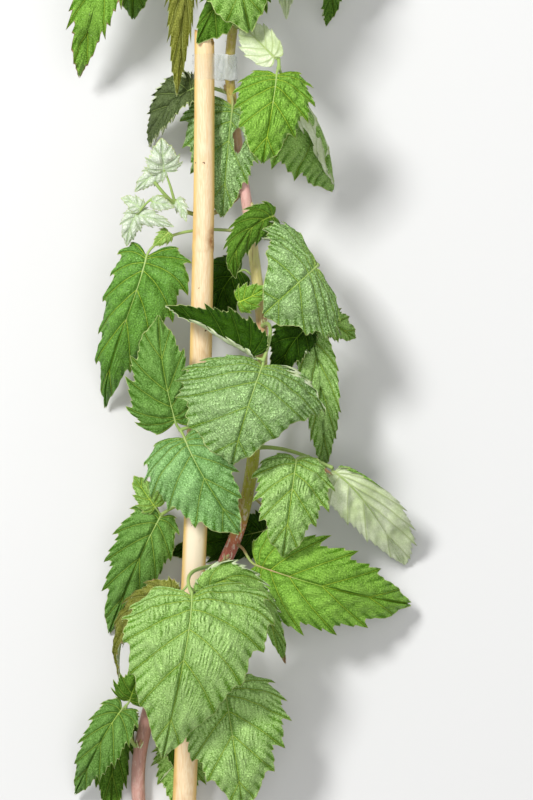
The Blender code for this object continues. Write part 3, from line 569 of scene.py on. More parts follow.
bud_radii = np.interp(np.linspace(0, 1, BUD_POINTS), [0, 0.3, 0.6, 1], [0.7, 1.25, 0.95, 0.05])
bud_skin = fine_finish("bud scales", (0.42, 0.22, 0.12), (0.45, 0.48, 0.20), 0.5, 500)
stipule_radii = np.linspace(0.38, 0.06, STIPULE_POINTS)
stipule_skin = fine_finish("stipules", (0.72, 0.78, 0.52), (0.50, 0.58, 0.26), 0.6, 400)
for title, lines, radii, sides, skin in (("buds", buds, bud_radii, 10, bud_skin),
                                         ("stipules", stipules, stipule_radii, 6, stipule_skin)):
    grown = stem(title, lines, [radii] * len(lines), Sides=sides, Seed=3, Skin=skin)
    fasten(grown, "stalk_skin", "cane")

# Leaflets
# Thin toothed blades, green above and felted below, creased along their veins and puckered between them.
# Each grows on a short stalk of its own, from its leaf's stalk or from the cane.

LEAF_THICKNESS = 0.34
LOWEST_UPPER, LOWEST_UNDER, LOWEST_PETIOLE = 0.35, 0.03, 0.02

# Along the edge from base to tip: shares of the length and of the half width, and where on the midrib the
# vein that ends there begins
OUTLINE_Q = np.array([0, 0.10, 0.24, 0.39, 0.54, 0.68, 0.80, 0.90, 1.0])
OUTLINE_U = np.array([0, -0.07, -0.03, 0.12, 0.32, 0.53, 0.71, 0.86, 1.0])
OUTLINE_V = np.array([0, 0.33, 0.73, 0.97, 1.00, 0.86, 0.60, 0.30, 0.0])
VEIN_U = np.array([0, 0.006, 0.014, 0.03, 0.07, 0.17, 0.35, 0.61, 1.0])

VEIN_BOW = -0.12
EDGE_WAVES = 2.0
FIRST_Q, LAST_Q = 0.012, 0.993
VEIN_CROWDING = 1.2
SECTION_STEPS, RIB_POINTS, NUDGE = 14, 60, 0.02
TEETH_PER_VEIN = 3
TOOTH_ROWS = np.array([0.0, 0.32, 0.66])
COLUMN_WIDTH = 0.6
MAIN_TOOTH, SMALL_TOOTH, MAIN_CREST, SMALL_CREST = 4.2, 2.2, 0.22, 0.32
PUCKER, PUCKER_MOST, RUNG, RUNG_PITCH = 0.30, 2.0, 0.62, 2.3
RUMPLE_LENGTHS, RUMPLE_WAVES = (17.0, 5.5, 2.8), 7
VEIN_RIDGE, RIB_RIDGE, STALK_BELOW_RIB = 0.30, 0.5, 0.32
PETIOLE_RADIUS, PETIOLE_SIDES, PETIOLE_POINTS, POINTS_BELOW_RIB = 0.75, 8, 26, 12
LIP_RADIUS, WIDEST_LIP = 0.7, 0.33
GLOW_THROUGH_UPPER, GLOW_THROUGH_UNDER = 0.15, 0.25

# Pairs are for the two sides of the midrib: the second is the right one when a leaflet hangs down with
# its upper side to the front.
LEAF_DEFAULTS = dict(half=(15, 15), taper=(0, 0), skew=(0, 0), roll=(0, 0), fold=(0, 0), curl=(-25, -25),
                     wave=0.0, stalk=None, veins=7, skin="mid", dry=(), dry_rim=0.0, hole=None, rough=1.0,
                     rungs=0.55, teeth=1.0, lips=())
SIDED = ("half", "taper", "skew", "fold", "curl")

LEAFLETS = {
    "leaf_01": dict(rib=[(-1, 513, 46), (2, 526, 50), (5, 546, 38)], half=(8, 8), fold=(35, 35),
        stalk=[(0, 510.5, 45.2)], veins=6, skin="young"),
    "leaf_02": dict(rib=[(-28, 494, 50), (-42, 492, 52), (-56, 480, 36)], half=(12, 13), fold=(20, 25),
        stalk=[(-7, 478, 54), (-14, 490, 58)], veins=6, skin="young"),
    "leaf_04_end": dict(rib=[(28, 450, 50), (37, 430, 50), (33, 406, 32), (30, 389, 6)], half=(13, 13),
        fold=(40, 40), skin="deep"),
    "leaf_04_side": dict(rib=[(20, 453, 56), (12, 438, 66), (8, 412, 60), (10, 390, 46)], half=(12, 11),
        roll=(180, 180), fold=(-20, -20), veins=6),
    "leaf_05_end": dict(rib=[(-71, 438, 50), (-80, 412, 58), (-92, 386, 38), (-94.5, 362, 16)], half=(17, 15),
        roll=(-10, 20), fold=(20, 30), curl=(-30, -20), skin="bright", dry_rim=0.6),
    "leaf_05_side_a": dict(rib=[(-67, 436, 46), (-66, 420, 44), (-68, 400, 36), (-67, 392, 20)],
        half=(15, 16), roll=(10, -10), curl=(-35, -30), veins=6, skin="deep"),
    "leaf_05_side_b": dict(rib=[(-74, 442, 43), (-88, 450, 43), (-106, 446, 26)], half=(15, 14),
        curl=(-30, -30), veins=6),
    "leaf_05_side_c": dict(rib=[(-41.5, 437, 59), (-39, 412, 60), (-43, 382, 56), (-45, 351, 44)],
        half=(11, 8), roll=(15, 5), fold=(15, 20), curl=(-20, -20), stalk=[(-41.8, 445, 61)], skin="olive"),
    "leaf_06_end": dict(rib=[(-17, 451, 92), (-16, 428, 96), (-13, 402, 93), (-8, 382, 79)], half=(42, 32),
        curl=(-24, -20), wave=1.5, veins=8, teeth=1.5),
    "leaf_06_side": dict(rib=[(-14, 420, 68), (-18, 406, 71), (-28, 394, 69), (-35, 377, 61.5)],
        half=(10, 25), fold=(10, 5), curl=(-25, -15), veins=6, skin="deep"),
    "leaf_07_end": dict(rib=[(5, 361, 82), (4, 348, 90), (0, 330, 86), (-2, 317, 74)], half=(23, 22),
        curl=(-45, -40), wave=1.0, skin="bright", rungs=0.9),
    "leaf_07_side_a": dict(rib=[(10, 358, 70), (24, 346, 56), (35, 326, 38), (33.5, 306, 3)], half=(35, 16),
        roll=(5, 0), fold=(0, 135), curl=(-15, 10)),
    "leaf_07_side_b": dict(rib=[(4, 370, 76), (-3, 377, 75), (-13, 388, 59)], half=(9, 8), taper=(-0.5, -0.5),
        roll=(180, 180), veins=6, teeth=0.5),
    "leaf_08_end": dict(rib=[(-17, 347, 49), (-19, 330, 48), (-21, 310, 42), (-22, 291, 37)], half=(33, 18),
        roll=(-18, -14), fold=(-12, 0), curl=(-20, -10), skin="grey", hole=(0.27, 0.30, 2.4, 5.5)),
    "leaf_08_side": dict(rib=[(-37, 356, 41), (-46, 353, 38), (-55, 342, 24), (-59, 328, 1)], half=(14, 14),
        roll=(-20, -20), fold=(20, 35), curl=(-20, -20), skin="dusk", dry_rim=0.3,
        lips=[(-1, 0.2, 0.85, 3.0)]),
    "leaf_09_end": dict(rib=[(24.6, 266, 71), (19, 261, 80), (9, 252, 81), (-2, 242, 71)], half=(37, 37),
        skew=(0.5, -0.15), curl=(-45, -45), wave=1.5, veins=8, skin="grey", rungs=0.3, dry_rim=0.25),
    "leaf_09_side": dict(
        rib=[(3.5, 292, 49), (-5, 290, 57), (-16, 281, 57), (-19, 268, 53), (-15, 260.5, 47)], half=(10, 10),
        curl=(-30, -30), skin="deep", dry_rim=0.3),
    "leaf_10": dict(rib=[(-60, 272, 46), (-65, 250, 54), (-76, 228, 38), (-83, 210, 20), (-81, 196, 2)],
        half=(20, 29), taper=(0.45, 0.55), skew=(0, 0.04), fold=(-15, 0), curl=(-30, -30), wave=1.0,
        stalk=[(-11, 284, 34.2), (-22, 286, 31), (-44, 290, 38)], skin="glossy", veins=8, rungs=0.3),
    "leaf_10_side": dict(rib=[(-49, 284, 45), (-52, 281, 47), (-57, 277, 46)], half=(5, 5), veins=5,
        skin="young"),
    "leaf_11": dict(rib=[(-14, 249, 47), (-8, 251, 50), (1, 257, 49)], half=(8, 9), veins=5,
        stalk=[(-6.7, 246, 36), (-12, 242, 40)], skin="bright"),
    "leaf_12_end": dict(rib=[(22.5, 233, 41), (28, 212, 44), (29, 190, 30), (29, 162, 2)], half=(12, 11),
        fold=(30, 35), curl=(-20, -20), wave=1.5, skin="light", teeth=0.5, lips=[(-1, 0.5, 0.8, 2.6)]),
    "leaf_12_side_a": dict(rib=[(20, 236, 49), (14, 231, 55), (8, 222, 55), (5, 211, 48)], half=(14, 12),
        veins=6, skin="dark", lips=[(1, 0.2, 0.7, 3.0)]),
    "leaf_12_side_b": dict(rib=[(27, 239.5, 41), (35, 238, 40), (45, 231, 26)], half=(9, 10), fold=(10, 10),
        veins=6),
    "leaf_13_end": dict(rib=[(-2, 217, 78), (-7, 204, 89), (-13, 186, 85), (-17, 168, 68)], half=(40, 48),
        taper=(-0.3, 0.4), skew=(-0.1, 0.15), curl=(-50, -55), wave=1.5, veins=8, skin="grey", rungs=0.6,
        teeth=1.2, lips=[(1, 0.04, 0.42, 14.0), (-1, 0.03, 0.17, 13.0)]),
    "leaf_13_side": dict(rib=[(-6.5, 221.5, 75), (-20, 230, 70), (-36, 239, 62), (-51, 247, 56)],
        half=(17, 9), fold=(0, 70), curl=(-25, 60), skin="dark"),
    "leaf_14_end": dict(rib=[(-41, 181, 53), (-36, 168, 61), (-25, 150, 57), (-13, 133, 46)], half=(32, 20),
        curl=(-55, -20), wave=1.5, veins=8, skin="cool", rungs=0.3),
    "leaf_14_side": dict(rib=[(-45.5, 189, 51), (-50, 205, 57), (-54, 225, 55), (-54, 243, 45)],
        half=(17, 23), curl=(-20, -35), wave=1.0, skin="shady", rungs=0.25),
    "leaf_15_end": dict(rib=[(15, 170, 53), (13, 158, 64), (11, 140, 61), (8, 121, 46)], half=(22, 23),
        curl=(-35, -35), wave=1.0, dry=[(0.0, 0.8, 5.0)], skin="light", rungs=0.9),
    "leaf_15_side": dict(rib=[(34, 164, 41), (45, 157, 46), (58, 138, 34), (70, 116, 2)], half=(15, 15),
        skew=(-0.3, 0.1), roll=(180, 170), fold=(-10, -10), curl=(20, 20), teeth=0.5,
        lips=[(-1, 0.05, 0.4, -4.0)]),
    "leaf_16_end": dict(rib=[(-53.5, 141, 25), (-60, 130, 32), (-70, 108, 22), (-80, 81, 1)], half=(18, 15),
        curl=(-25, -25), wave=1.0, skin="shady", rungs=0.25),
    "leaf_16_side": dict(rib=[(-56, 146, 28), (-61, 153, 31), (-67, 162, 24)], half=(9, 8), veins=6),
    "leaf_17": dict(rib=[(-1, 134, 11), (-16, 130, 6), (-32, 128, 1), (-51, 121, 0)], half=(13, 14),
        stalk=[(-5.5, 151, 18), (2, 146, 16)], skin="dark"),
    "leaf_18": dict(rib=[(-5, 117, 36), (15, 110, 50), (45, 101, 42), (73, 97, 8)], half=(28, 27),
        curl=(-25, -25), wave=1.5, stalk=[(-13.3, 126, 18), (-10, 127, 28)], veins=8, skin="bright",
        dry=[(0.55, -0.9, 4.0)]),
    "leaf_19_end": dict(rib=[(-37, 103, 80), (-37, 84, 95), (-45, 52, 85), (-52, 21, 52)], half=(41, 50),
        taper=(0.4, 0.4), skew=(0, 0.1), curl=(-45, -50), wave=1.5, veins=8, skin="light", rungs=0.8),
    "leaf_19_side_a": dict(rib=[(-30.5, 104, 69), (-19, 119, 74), (-1, 107, 66), (9.5, 67, 36)], half=(9, 12),
        curl=(-30, -30), wave=1.0, dry=[(1.0, 0.0, 9.0)], dry_rim=0.4, lips=[(1, 0.12, 0.88, 3.4)]),
    "leaf_19_side_b": dict(rib=[(-45.5, 102.5, 69), (-60, 100, 53), (-77, 90, 42), (-74, 60, 24)],
        half=(12, 11), roll=(-20, -20), fold=(25, 25), skin="olive", dry_rim=0.5),
    "leaf_20": dict(rib=[(-21, 57, 46), (-18, 38, 57), (-14, 15, 53), (-12, -6, 34)], half=(29, 33),
        curl=(-40, -40), wave=1.5, stalk=[(-24, 102, 12.8), (-17, 96, 24), (-16, 76, 38)], veins=8,
        skin="light", rungs=0.9),
    "leaf_21": dict(rib=[(-46, 47, 6.5), (-47, 30, 5.5), (-46, 12, 4)], half=(11, 10), curl=(-5, -20),
        stalk=[(-44.7, 64, 6.5), (-46, 56, 5)], skin="dark"),
    "leaf_22_end": dict(rib=[(-72.7, 44.3, 27.5), (-80, 36, 35), (-88, 19, 28), (-97, 0, 4)], half=(12, 14),
        fold=(-10, 20), curl=(-20, -20), skin="shady"),
    "leaf_22_side_a": dict(rib=[(-73, 41, 18), (-78, 31, 3), (-79, 8, 0), (-78, -16, 0)], half=(14, 12),
        roll=(28, 0), skin="deep"),
    "leaf_22_side_b": dict(rib=[(-69, 48.5, 27), (-66, 57, 34), (-62, 68, 30)], half=(11, 12), veins=6,
        skin="deep"),
    "leaf_23": dict(rib=[(-43, 26, 0), (-43, 12, 0), (-43, -10, 0)], half=(16, 16), roll=(180, 180),
        curl=(0, 0), stalk=[(-58.5, 38, 3), (-54, 30, 0.9)], veins=6, rough=0.4),
    "leaf_24": dict(rib=[(-13, 265, 25), (-21, 262, 25), (-26, 250, 21), (-27, 234, 13)], half=(14, 15),
        stalk=[(-8.2, 262, 33.3), (-10, 266, 28)], skin="dark"),
}

# Deep colour, light colour, veins, gloss and crinkles of the upper side. The light colour is also painted
# highlight on the tops of the puckers, and the deep colour, further deepened, is painted shade in each
# crease; the crinkles weight both their bumps and their painted shade.
LEAF_SKINS = {
    "mid": ((0.085, 0.235, 0.002), (0.480, 0.780, 0.200), (0.45, 0.62, 0.08), 0.38, 0.5),
    "bright": ((0.075, 0.225, 0.000), (0.370, 0.690, 0.100), (0.50, 0.70, 0.06), 0.36, 0.4),
    "light": ((0.110, 0.280, 0.004), (0.600, 0.900, 0.320), (0.52, 0.70, 0.10), 0.38, 0.5),
    "grey": ((0.105, 0.260, 0.010), (0.600, 0.880, 0.390), (0.44, 0.64, 0.10), 0.42, 1.0),
    "cool": ((0.070, 0.215, 0.010), (0.430, 0.760, 0.290), (0.42, 0.60, 0.10), 0.36, 0.35),
    "shady": ((0.048, 0.155, 0.002), (0.240, 0.460, 0.105), (0.36, 0.52, 0.07), 0.40, 0.3),
    "glossy": ((0.045, 0.165, 0.001), (0.230, 0.500, 0.080), (0.46, 0.66, 0.05), 0.28, 0.2),
    "deep": ((0.034, 0.112, 0.000), (0.175, 0.360, 0.040), (0.30, 0.46, 0.05), 0.42, 0.5),
    # Painted shade: the next two skins are much deeper copies of the green, the second browner, for leaflets
    # that lie in the shade of other leaves.
    "dark": ((0.008, 0.036, 0.0005), (0.045, 0.125, 0.004), (0.10, 0.21, 0.01), 0.50, 0.4),
    "dusk": ((0.045, 0.075, 0.012), (0.170, 0.230, 0.090), (0.30, 0.40, 0.12), 0.50, 0.5),
    "olive": ((0.120, 0.140, 0.004), (0.360, 0.380, 0.080), (0.48, 0.52, 0.14), 0.50, 0.4),
    "young": ((0.160, 0.340, 0.015), (0.480, 0.720, 0.200), (0.55, 0.72, 0.18), 0.38, 0.4),
    "silver": ((0.560, 0.700, 0.430), (0.900, 0.960, 0.820), (0.55, 0.72, 0.36), 0.60, 0.2),
}


def split(place, title):
    """The three painted values under one name."""
    painted = node(place.id_data, "ShaderNodeAttribute", attribute_name=title)
    return node(place.id_data, "ShaderNodeSeparateXYZ", {0: painted.outputs[1]}).outputs


def upper_finish(title):
    """The green side, with thin yellow-green veins. Its pale puckers are painted highlight, and each crease
    is painted shade in a deeper green.
    """
    deep, light, vein, gloss, crinkle = LEAF_SKINS[title]
    finish, place = new_finish("leaf upper side, " + title)
    vein_gap, rib_gap, rim_gap = split(place, "gaps")
    crest, dryness, out = split(place, "state")
    cloud, fine = noise(place, 50, 3), noise(place, 1500, 2)
    rung = maths("ABSOLUTE", maths("SINE", times(painted_value(place, "rungs"), math.pi)))
    depth = painted_value(place, "rung_depth")
    wander = shading("ShaderNodeTexNoise", {"Vector": place, "Scale": 900.0}, out=1)
    wander = shading("ShaderNodeVectorMath", {0: place, 1: wander})
    wander = shading("ShaderNodeMix", {0: 0.0006, 4: place, 5: wander}, out=1, data_type="VECTOR")
    net = shading("ShaderNodeTexVoronoi", {"Vector": wander, "Scale": 720.0}, feature="DISTANCE_TO_EDGE")
    net = step(net, 0.02, 0.26)
    worm = step(maths("ABSOLUTE", plus(noise(place, 620, 2), -0.5)), 0.0, 0.10)
    # Painted highlight: the crest value turns the tops of the puckers toward the light colour, mixed with
    # random cloudy and fine grain.
    tone_and_crest_sheen = plus(plus(times(cloud, 0.32), times(crest, 0.85)), times(plus(fine, -0.45), 1.1))
    skin = mixed(step(tone_and_crest_sheen, 0.22, 0.88), deep, light)
    # Painted shade: the net's edges, the crooked crinkles, the valleys beside the side veins and the midrib,
    # and the furrows between rungs are mixed toward the deep colour at three tenths.
    painted_crease_shades = (times(maths("SUBTRACT", 1.0, net), 0.34), times(maths("SUBTRACT", 1.0, worm), 0.55 * crinkle),
               times(step(vein_gap, 0.9, 0.2), 0.55), times(step(rib_gap, 1.2, 0.3), 0.42))
    crease = times(step(rung, 0.42, 0.05), times(depth, 0.75))
    for other in painted_crease_shades:
        crease = maths("MAXIMUM", crease, other)
    skin = mixed(crease, skin, tuple(0.30 * c for c in deep))
    thin_vein = step(plus(vein_gap, times(out, 0.12)), 0.30, 0.12)
    skin = mixed(times(thin_vein, 0.66), skin, vein)
    skin = mixed(times(step(rib_gap, 0.44, 0.22), 0.9), skin, vein)
    rim = step(plus(rim_gap, times(fine, 0.5)), 0.75, 0.45)
    skin = mixed(times(rim, 0.75), skin, (0.58, 0.66, 0.26))
    scorch = step(plus(dryness, times(noise(place, 170, 3), 0.7)), 0.72, 0.95)
    skin = mixed(scorch, skin, mixed(fine, (0.16, 0.07, 0.03), (0.50, 0.33, 0.18)))
    relief = plus(plus(times(net, 0.40), times(fine, 0.55)), times(worm, 0.7 * crinkle))
    relief = bumps(plus(relief, times(times(rung, depth), 1.3)), 0.9, 0.0005)
    shader = skin_shader(skin, gloss, relief, shine=max(0.08, 1.3 * (0.5 - gloss)))
    glow = shading("ShaderNodeBsdfTranslucent", {0: mixed(0.5, skin, vein), "Normal": relief})
    return finished(finish, shading("ShaderNodeMixShader", {0: GLOW_THROUGH_UPPER, 1: shader, 2: glow}))


def under_finish():
    """The underside: whitish felt between raised yellow-green veins."""
    finish, place = new_finish("leaf underside")
    vein_gap, rib_gap, _ = split(place, "gaps")
    dryness = split(place, "state")[1]
    cloud, fine = noise(place, 70, 3), noise(place, 900, 2)
    felt = mixed(step(cloud, 0.3, 0.7), (0.60, 0.71, 0.38), (0.84, 0.91, 0.66))
    net = shading("ShaderNodeTexVoronoi", {"Vector": place, "Scale": 620.0}, feature="DISTANCE_TO_EDGE")
    felt = mixed(times(step(net, 0.16, 0.0), 0.3), felt, (0.36, 0.48, 0.18))
    felt = mixed(times(step(vein_gap, 0.5, 0.2), 0.7), felt, (0.44, 0.55, 0.22))
    felt = mixed(step(rib_gap, 1.0, 0.4), felt, (0.46, 0.56, 0.22))
    scorch = step(plus(dryness, times(cloud, 0.5)), 0.75, 1.0)
    felt = mixed(scorch, felt, (0.38, 0.24, 0.12))
    shader = skin_shader(felt, 0.8, bumps(fine, 0.4), shine=0.25, sheen=0.35)
    glow = node(finish.node_tree, "ShaderNodeBsdfTranslucent", {0: (0.40, 0.56, 0.16, 1.0)}).outputs[0]
    return finished(finish, shading("ShaderNodeMixShader", {0: GLOW_THROUGH_UNDER, 1: shader, 2: glow}))


UPPER = {title: upper_finish(title) for title in LEAF_SKINS}
UNDER = under_finish()


def frames_along(line, roll):
    """Tangent, face normal and side direction along a line, without twist but the roll."""
    tangent = unit(np.gradient(line, axis=0))
    normal = [unit(UP - (UP @ tangent[0]) * tangent[0])]
    for direction in tangent[1:]:
        normal.append(unit(normal[-1] - (normal[-1] @ direction) * direction))
    normal = np.array(normal)
    side = np.cross(normal, tangent)
    turn = np.radians(np.linspace(roll[0], roll[1], len(line)))[:, None]
    return tangent, normal * np.cos(turn) + side * np.sin(turn), side * np.cos(turn) - normal * np.sin(turn)


def blade_points(leaf, u, v):
    """Map shares of the length and of the half width to points in space."""
    line, tangent, normal, side = leaf["line"], *leaf["frames"]
    length = np.linalg.norm(np.diff(line, axis=0), axis=1).sum()
    half, taper, skew, fold, curl = [np.where(v > 0, leaf[key][1], leaf[key][0]) for key in SIDED]
    flat_u, u = u, u - skew * np.abs(v)
    at = np.clip(u, 0, 1) * (len(line) - 1)
    place, along, face, across = [
        np.stack([np.interp(at, np.arange(len(line)), table[:, axis]) for axis in range(3)], axis=-1)
        for table in (line, tangent, normal, side)]
    place = place + along * (np.minimum(u, 0) * length)[..., None]
    half = half * (1 - taper * np.clip(flat_u, 0, 1))
    reach = np.abs(v)
    share = reach[..., None] * (np.arange(SECTION_STEPS) + 0.5) / SECTION_STEPS
    bend = np.radians(fold[..., None] + curl[..., None] * share)
    out = half * reach * np.cos(bend).mean(axis=-1)
    lift = half * reach * np.sin(bend).mean(axis=-1)
    lift = lift + leaf["wave"] * reach ** 2 * np.sin(math.tau * EDGE_WAVES * u + 1.7 * np.sign(v))
    return place + across * (np.sign(v) * out)[..., None] + face * lift[..., None]


def blade_normals(leaf, u, v):
    along = blade_points(leaf, u + NUDGE, v) - blade_points(leaf, u - NUDGE, v)
    across = blade_points(leaf, u, v + NUDGE) - blade_points(leaf, u, v - NUDGE)
    return unit(np.cross(along, across))


def eased(q, value):
    """Read an outline table along a smooth curve through its points."""
    slope = np.gradient(value, OUTLINE_Q)
    k = np.clip(np.searchsorted(OUTLINE_Q, q, side="right") - 1, 0, len(OUTLINE_Q) - 2)
    h = OUTLINE_Q[k + 1] - OUTLINE_Q[k]
    t = (q - OUTLINE_Q[k]) / h
    return ((1 + 2 * t) * (1 - t) ** 2 * value[k] + t * (1 - t) ** 2 * h * slope[k]
            + t * t * (3 - 2 * t) * value[k + 1] + t * t * (t - 1) * h * slope[k + 1])


def saw(phase, crest):
    """0 at each tooth's point, 1 in the notch just beyond it."""
    phase = phase % 1.0
    return np.where(phase < crest, phase / crest, (1 - phase) / (1 - crest))


def rumple(points, chance, length):
    """Soft random ups and downs from -1 to 1, with about this wavelength."""
    total = 0
    for _ in range(RUMPLE_WAVES):
        direction = unit(chance.normal(size=3)) * math.tau / (length * chance.uniform(0.7, 1.6))
        total = total + np.sin(points @ direction + chance.uniform(0, math.tau))
    return total / math.sqrt(RUMPLE_WAVES) / 1.4


def petiole_line(leaf, start):
    """The way from the parent stalk to the base of the midrib."""
    base = leaf["line"][0]
    run_in = base - 0.3 * np.linalg.norm(np.array(leaf["rib"][1]) - base) * leaf["frames"][0][0]
    return smooth_line([start, *leaf["stalk"], run_in, base] if leaf["stalk"] else
                       [start, 0.5 * (run_in + base), base], PETIOLE_POINTS)


def petiole(leaf, approach):
    """Rings and faces of the leaflet's own stalk, which runs on below its midrib."""
    share = np.linspace(0.03, 0.5, POINTS_BELOW_RIB)
    below = blade_points(leaf, share, 0 * share) - blade_normals(leaf, share, 0 * share) * STALK_BELOW_RIB
    line = np.vstack([approach, below])
    radii = np.r_[np.linspace(1.15, 0.85, PETIOLE_POINTS), np.linspace(0.8, 0.25, POINTS_BELOW_RIB)]
    radii = radii * PETIOLE_RADIUS * leaf["size"]
    radii[:3] *= [1.5, 1.25, 1.1]
    radii[-1] = 0.05
    tangent = unit(np.gradient(line, axis=0))
    side = unit(np.cross(tangent, UP + 0.01))
    lift = np.cross(side, tangent)
    angle = np.arange(PETIOLE_SIDES)[None, :, None] * math.tau / PETIOLE_SIDES
    around = np.cos(angle) * side[:, None] + np.sin(angle) * lift[:, None]
    rings = line[:, None] + radii[:, None, None] * around
    rings[..., 2] = np.maximum(rings[..., 2], LOWEST_PETIOLE)
    return rings.reshape(-1, 3), tube_faces(len(line), PETIOLE_SIDES)


def tooth_cuts(leaf, phase, v_edge, share, chance):
    """Double teeth: a large one at the end of each side vein, and small ones between them."""
    veins, wide = leaf["veins"], max(leaf["half"])
    fine_phase = TEETH_PER_VEIN * phase
    large = leaf["teeth"] * MAIN_TOOTH * (min(wide, 32) / 26) ** 0.9 * saw(phase, MAIN_CREST)
    little = leaf["teeth"] * SMALL_TOOTH * leaf["small"] ** 0.7 * saw(fine_phase, SMALL_CREST)
    cuts = []
    for _ in range(2):
        main = np.interp(phase, np.arange(veins + 1), chance.uniform(0.55, 1.45, veins + 1))
        minor = np.interp(fine_phase, np.arange(TEETH_PER_VEIN * veins + 1),
                          chance.uniform(0.6, 1.4, TEETH_PER_VEIN * veins + 1))
        cuts.append((large * main + little * minor) / wide * np.clip(v_edge[:, 0] * 1.6, 0.25, 1))
    return np.where(share < 0, cuts[0][:, None], cuts[1][:, None])


def rolled_edge(leaf, q, wander, run, share, reach):
    """A rolled edge runs on round a small radius and back over the blade: upward, or downward if its width
    is negative."""
    raised, turned = np.zeros(reach.shape), np.zeros(reach.shape)
    for side, first_q, last_q, width in leaf["lips"]:
        extent = np.clip((q - first_q) / 0.05, 0, 1) * np.clip((last_q - q) / 0.08, 0, 1) * wander
        past = side * share * run - run + np.minimum(abs(width), WIDEST_LIP * run)
        past = past * extent[:, None]
        angle = np.clip(past / LIP_RADIUS, 0, math.pi)
        back = past - LIP_RADIUS * np.sin(angle) + np.maximum(past - math.pi * LIP_RADIUS, 0)
        reach = reach - np.where(past > 0, back / run, 0)
        raised = raised + math.copysign(LIP_RADIUS, width) * (1 - np.cos(angle))
        turned = turned + math.copysign(1, width) * angle
    return reach, raised, turned


def blade_distances(base, row_share, share, veins):
    """Millimetres between the side veins, from the nearest one, from the midrib and from the edge."""
    by_row, by_share = np.gradient(base, row_share, axis=0), np.gradient(base, share, axis=1)
    spacing = np.linalg.norm(np.cross(by_row, by_share), axis=2) / (np.linalg.norm(by_share, axis=2) + 1e-9)
    spacing = spacing / veins
    phase = (row_share * veins)[:, None]
    middle = len(share) // 2
    steps = np.linalg.norm(np.diff(base, axis=1), axis=2)
    walked = np.zeros(base.shape[:2])
    walked[:, middle + 1:] = np.cumsum(steps[:, middle:], axis=1)
    walked[:, :middle] = np.cumsum(steps[:, :middle][:, ::-1], axis=1)[:, ::-1]
    rim_gap = (np.where(share < 0, walked[:, :1], walked[:, -1:]) - walked) * 0.8
    return spacing, np.abs(phase - np.round(phase)) * spacing, walked, rim_gap


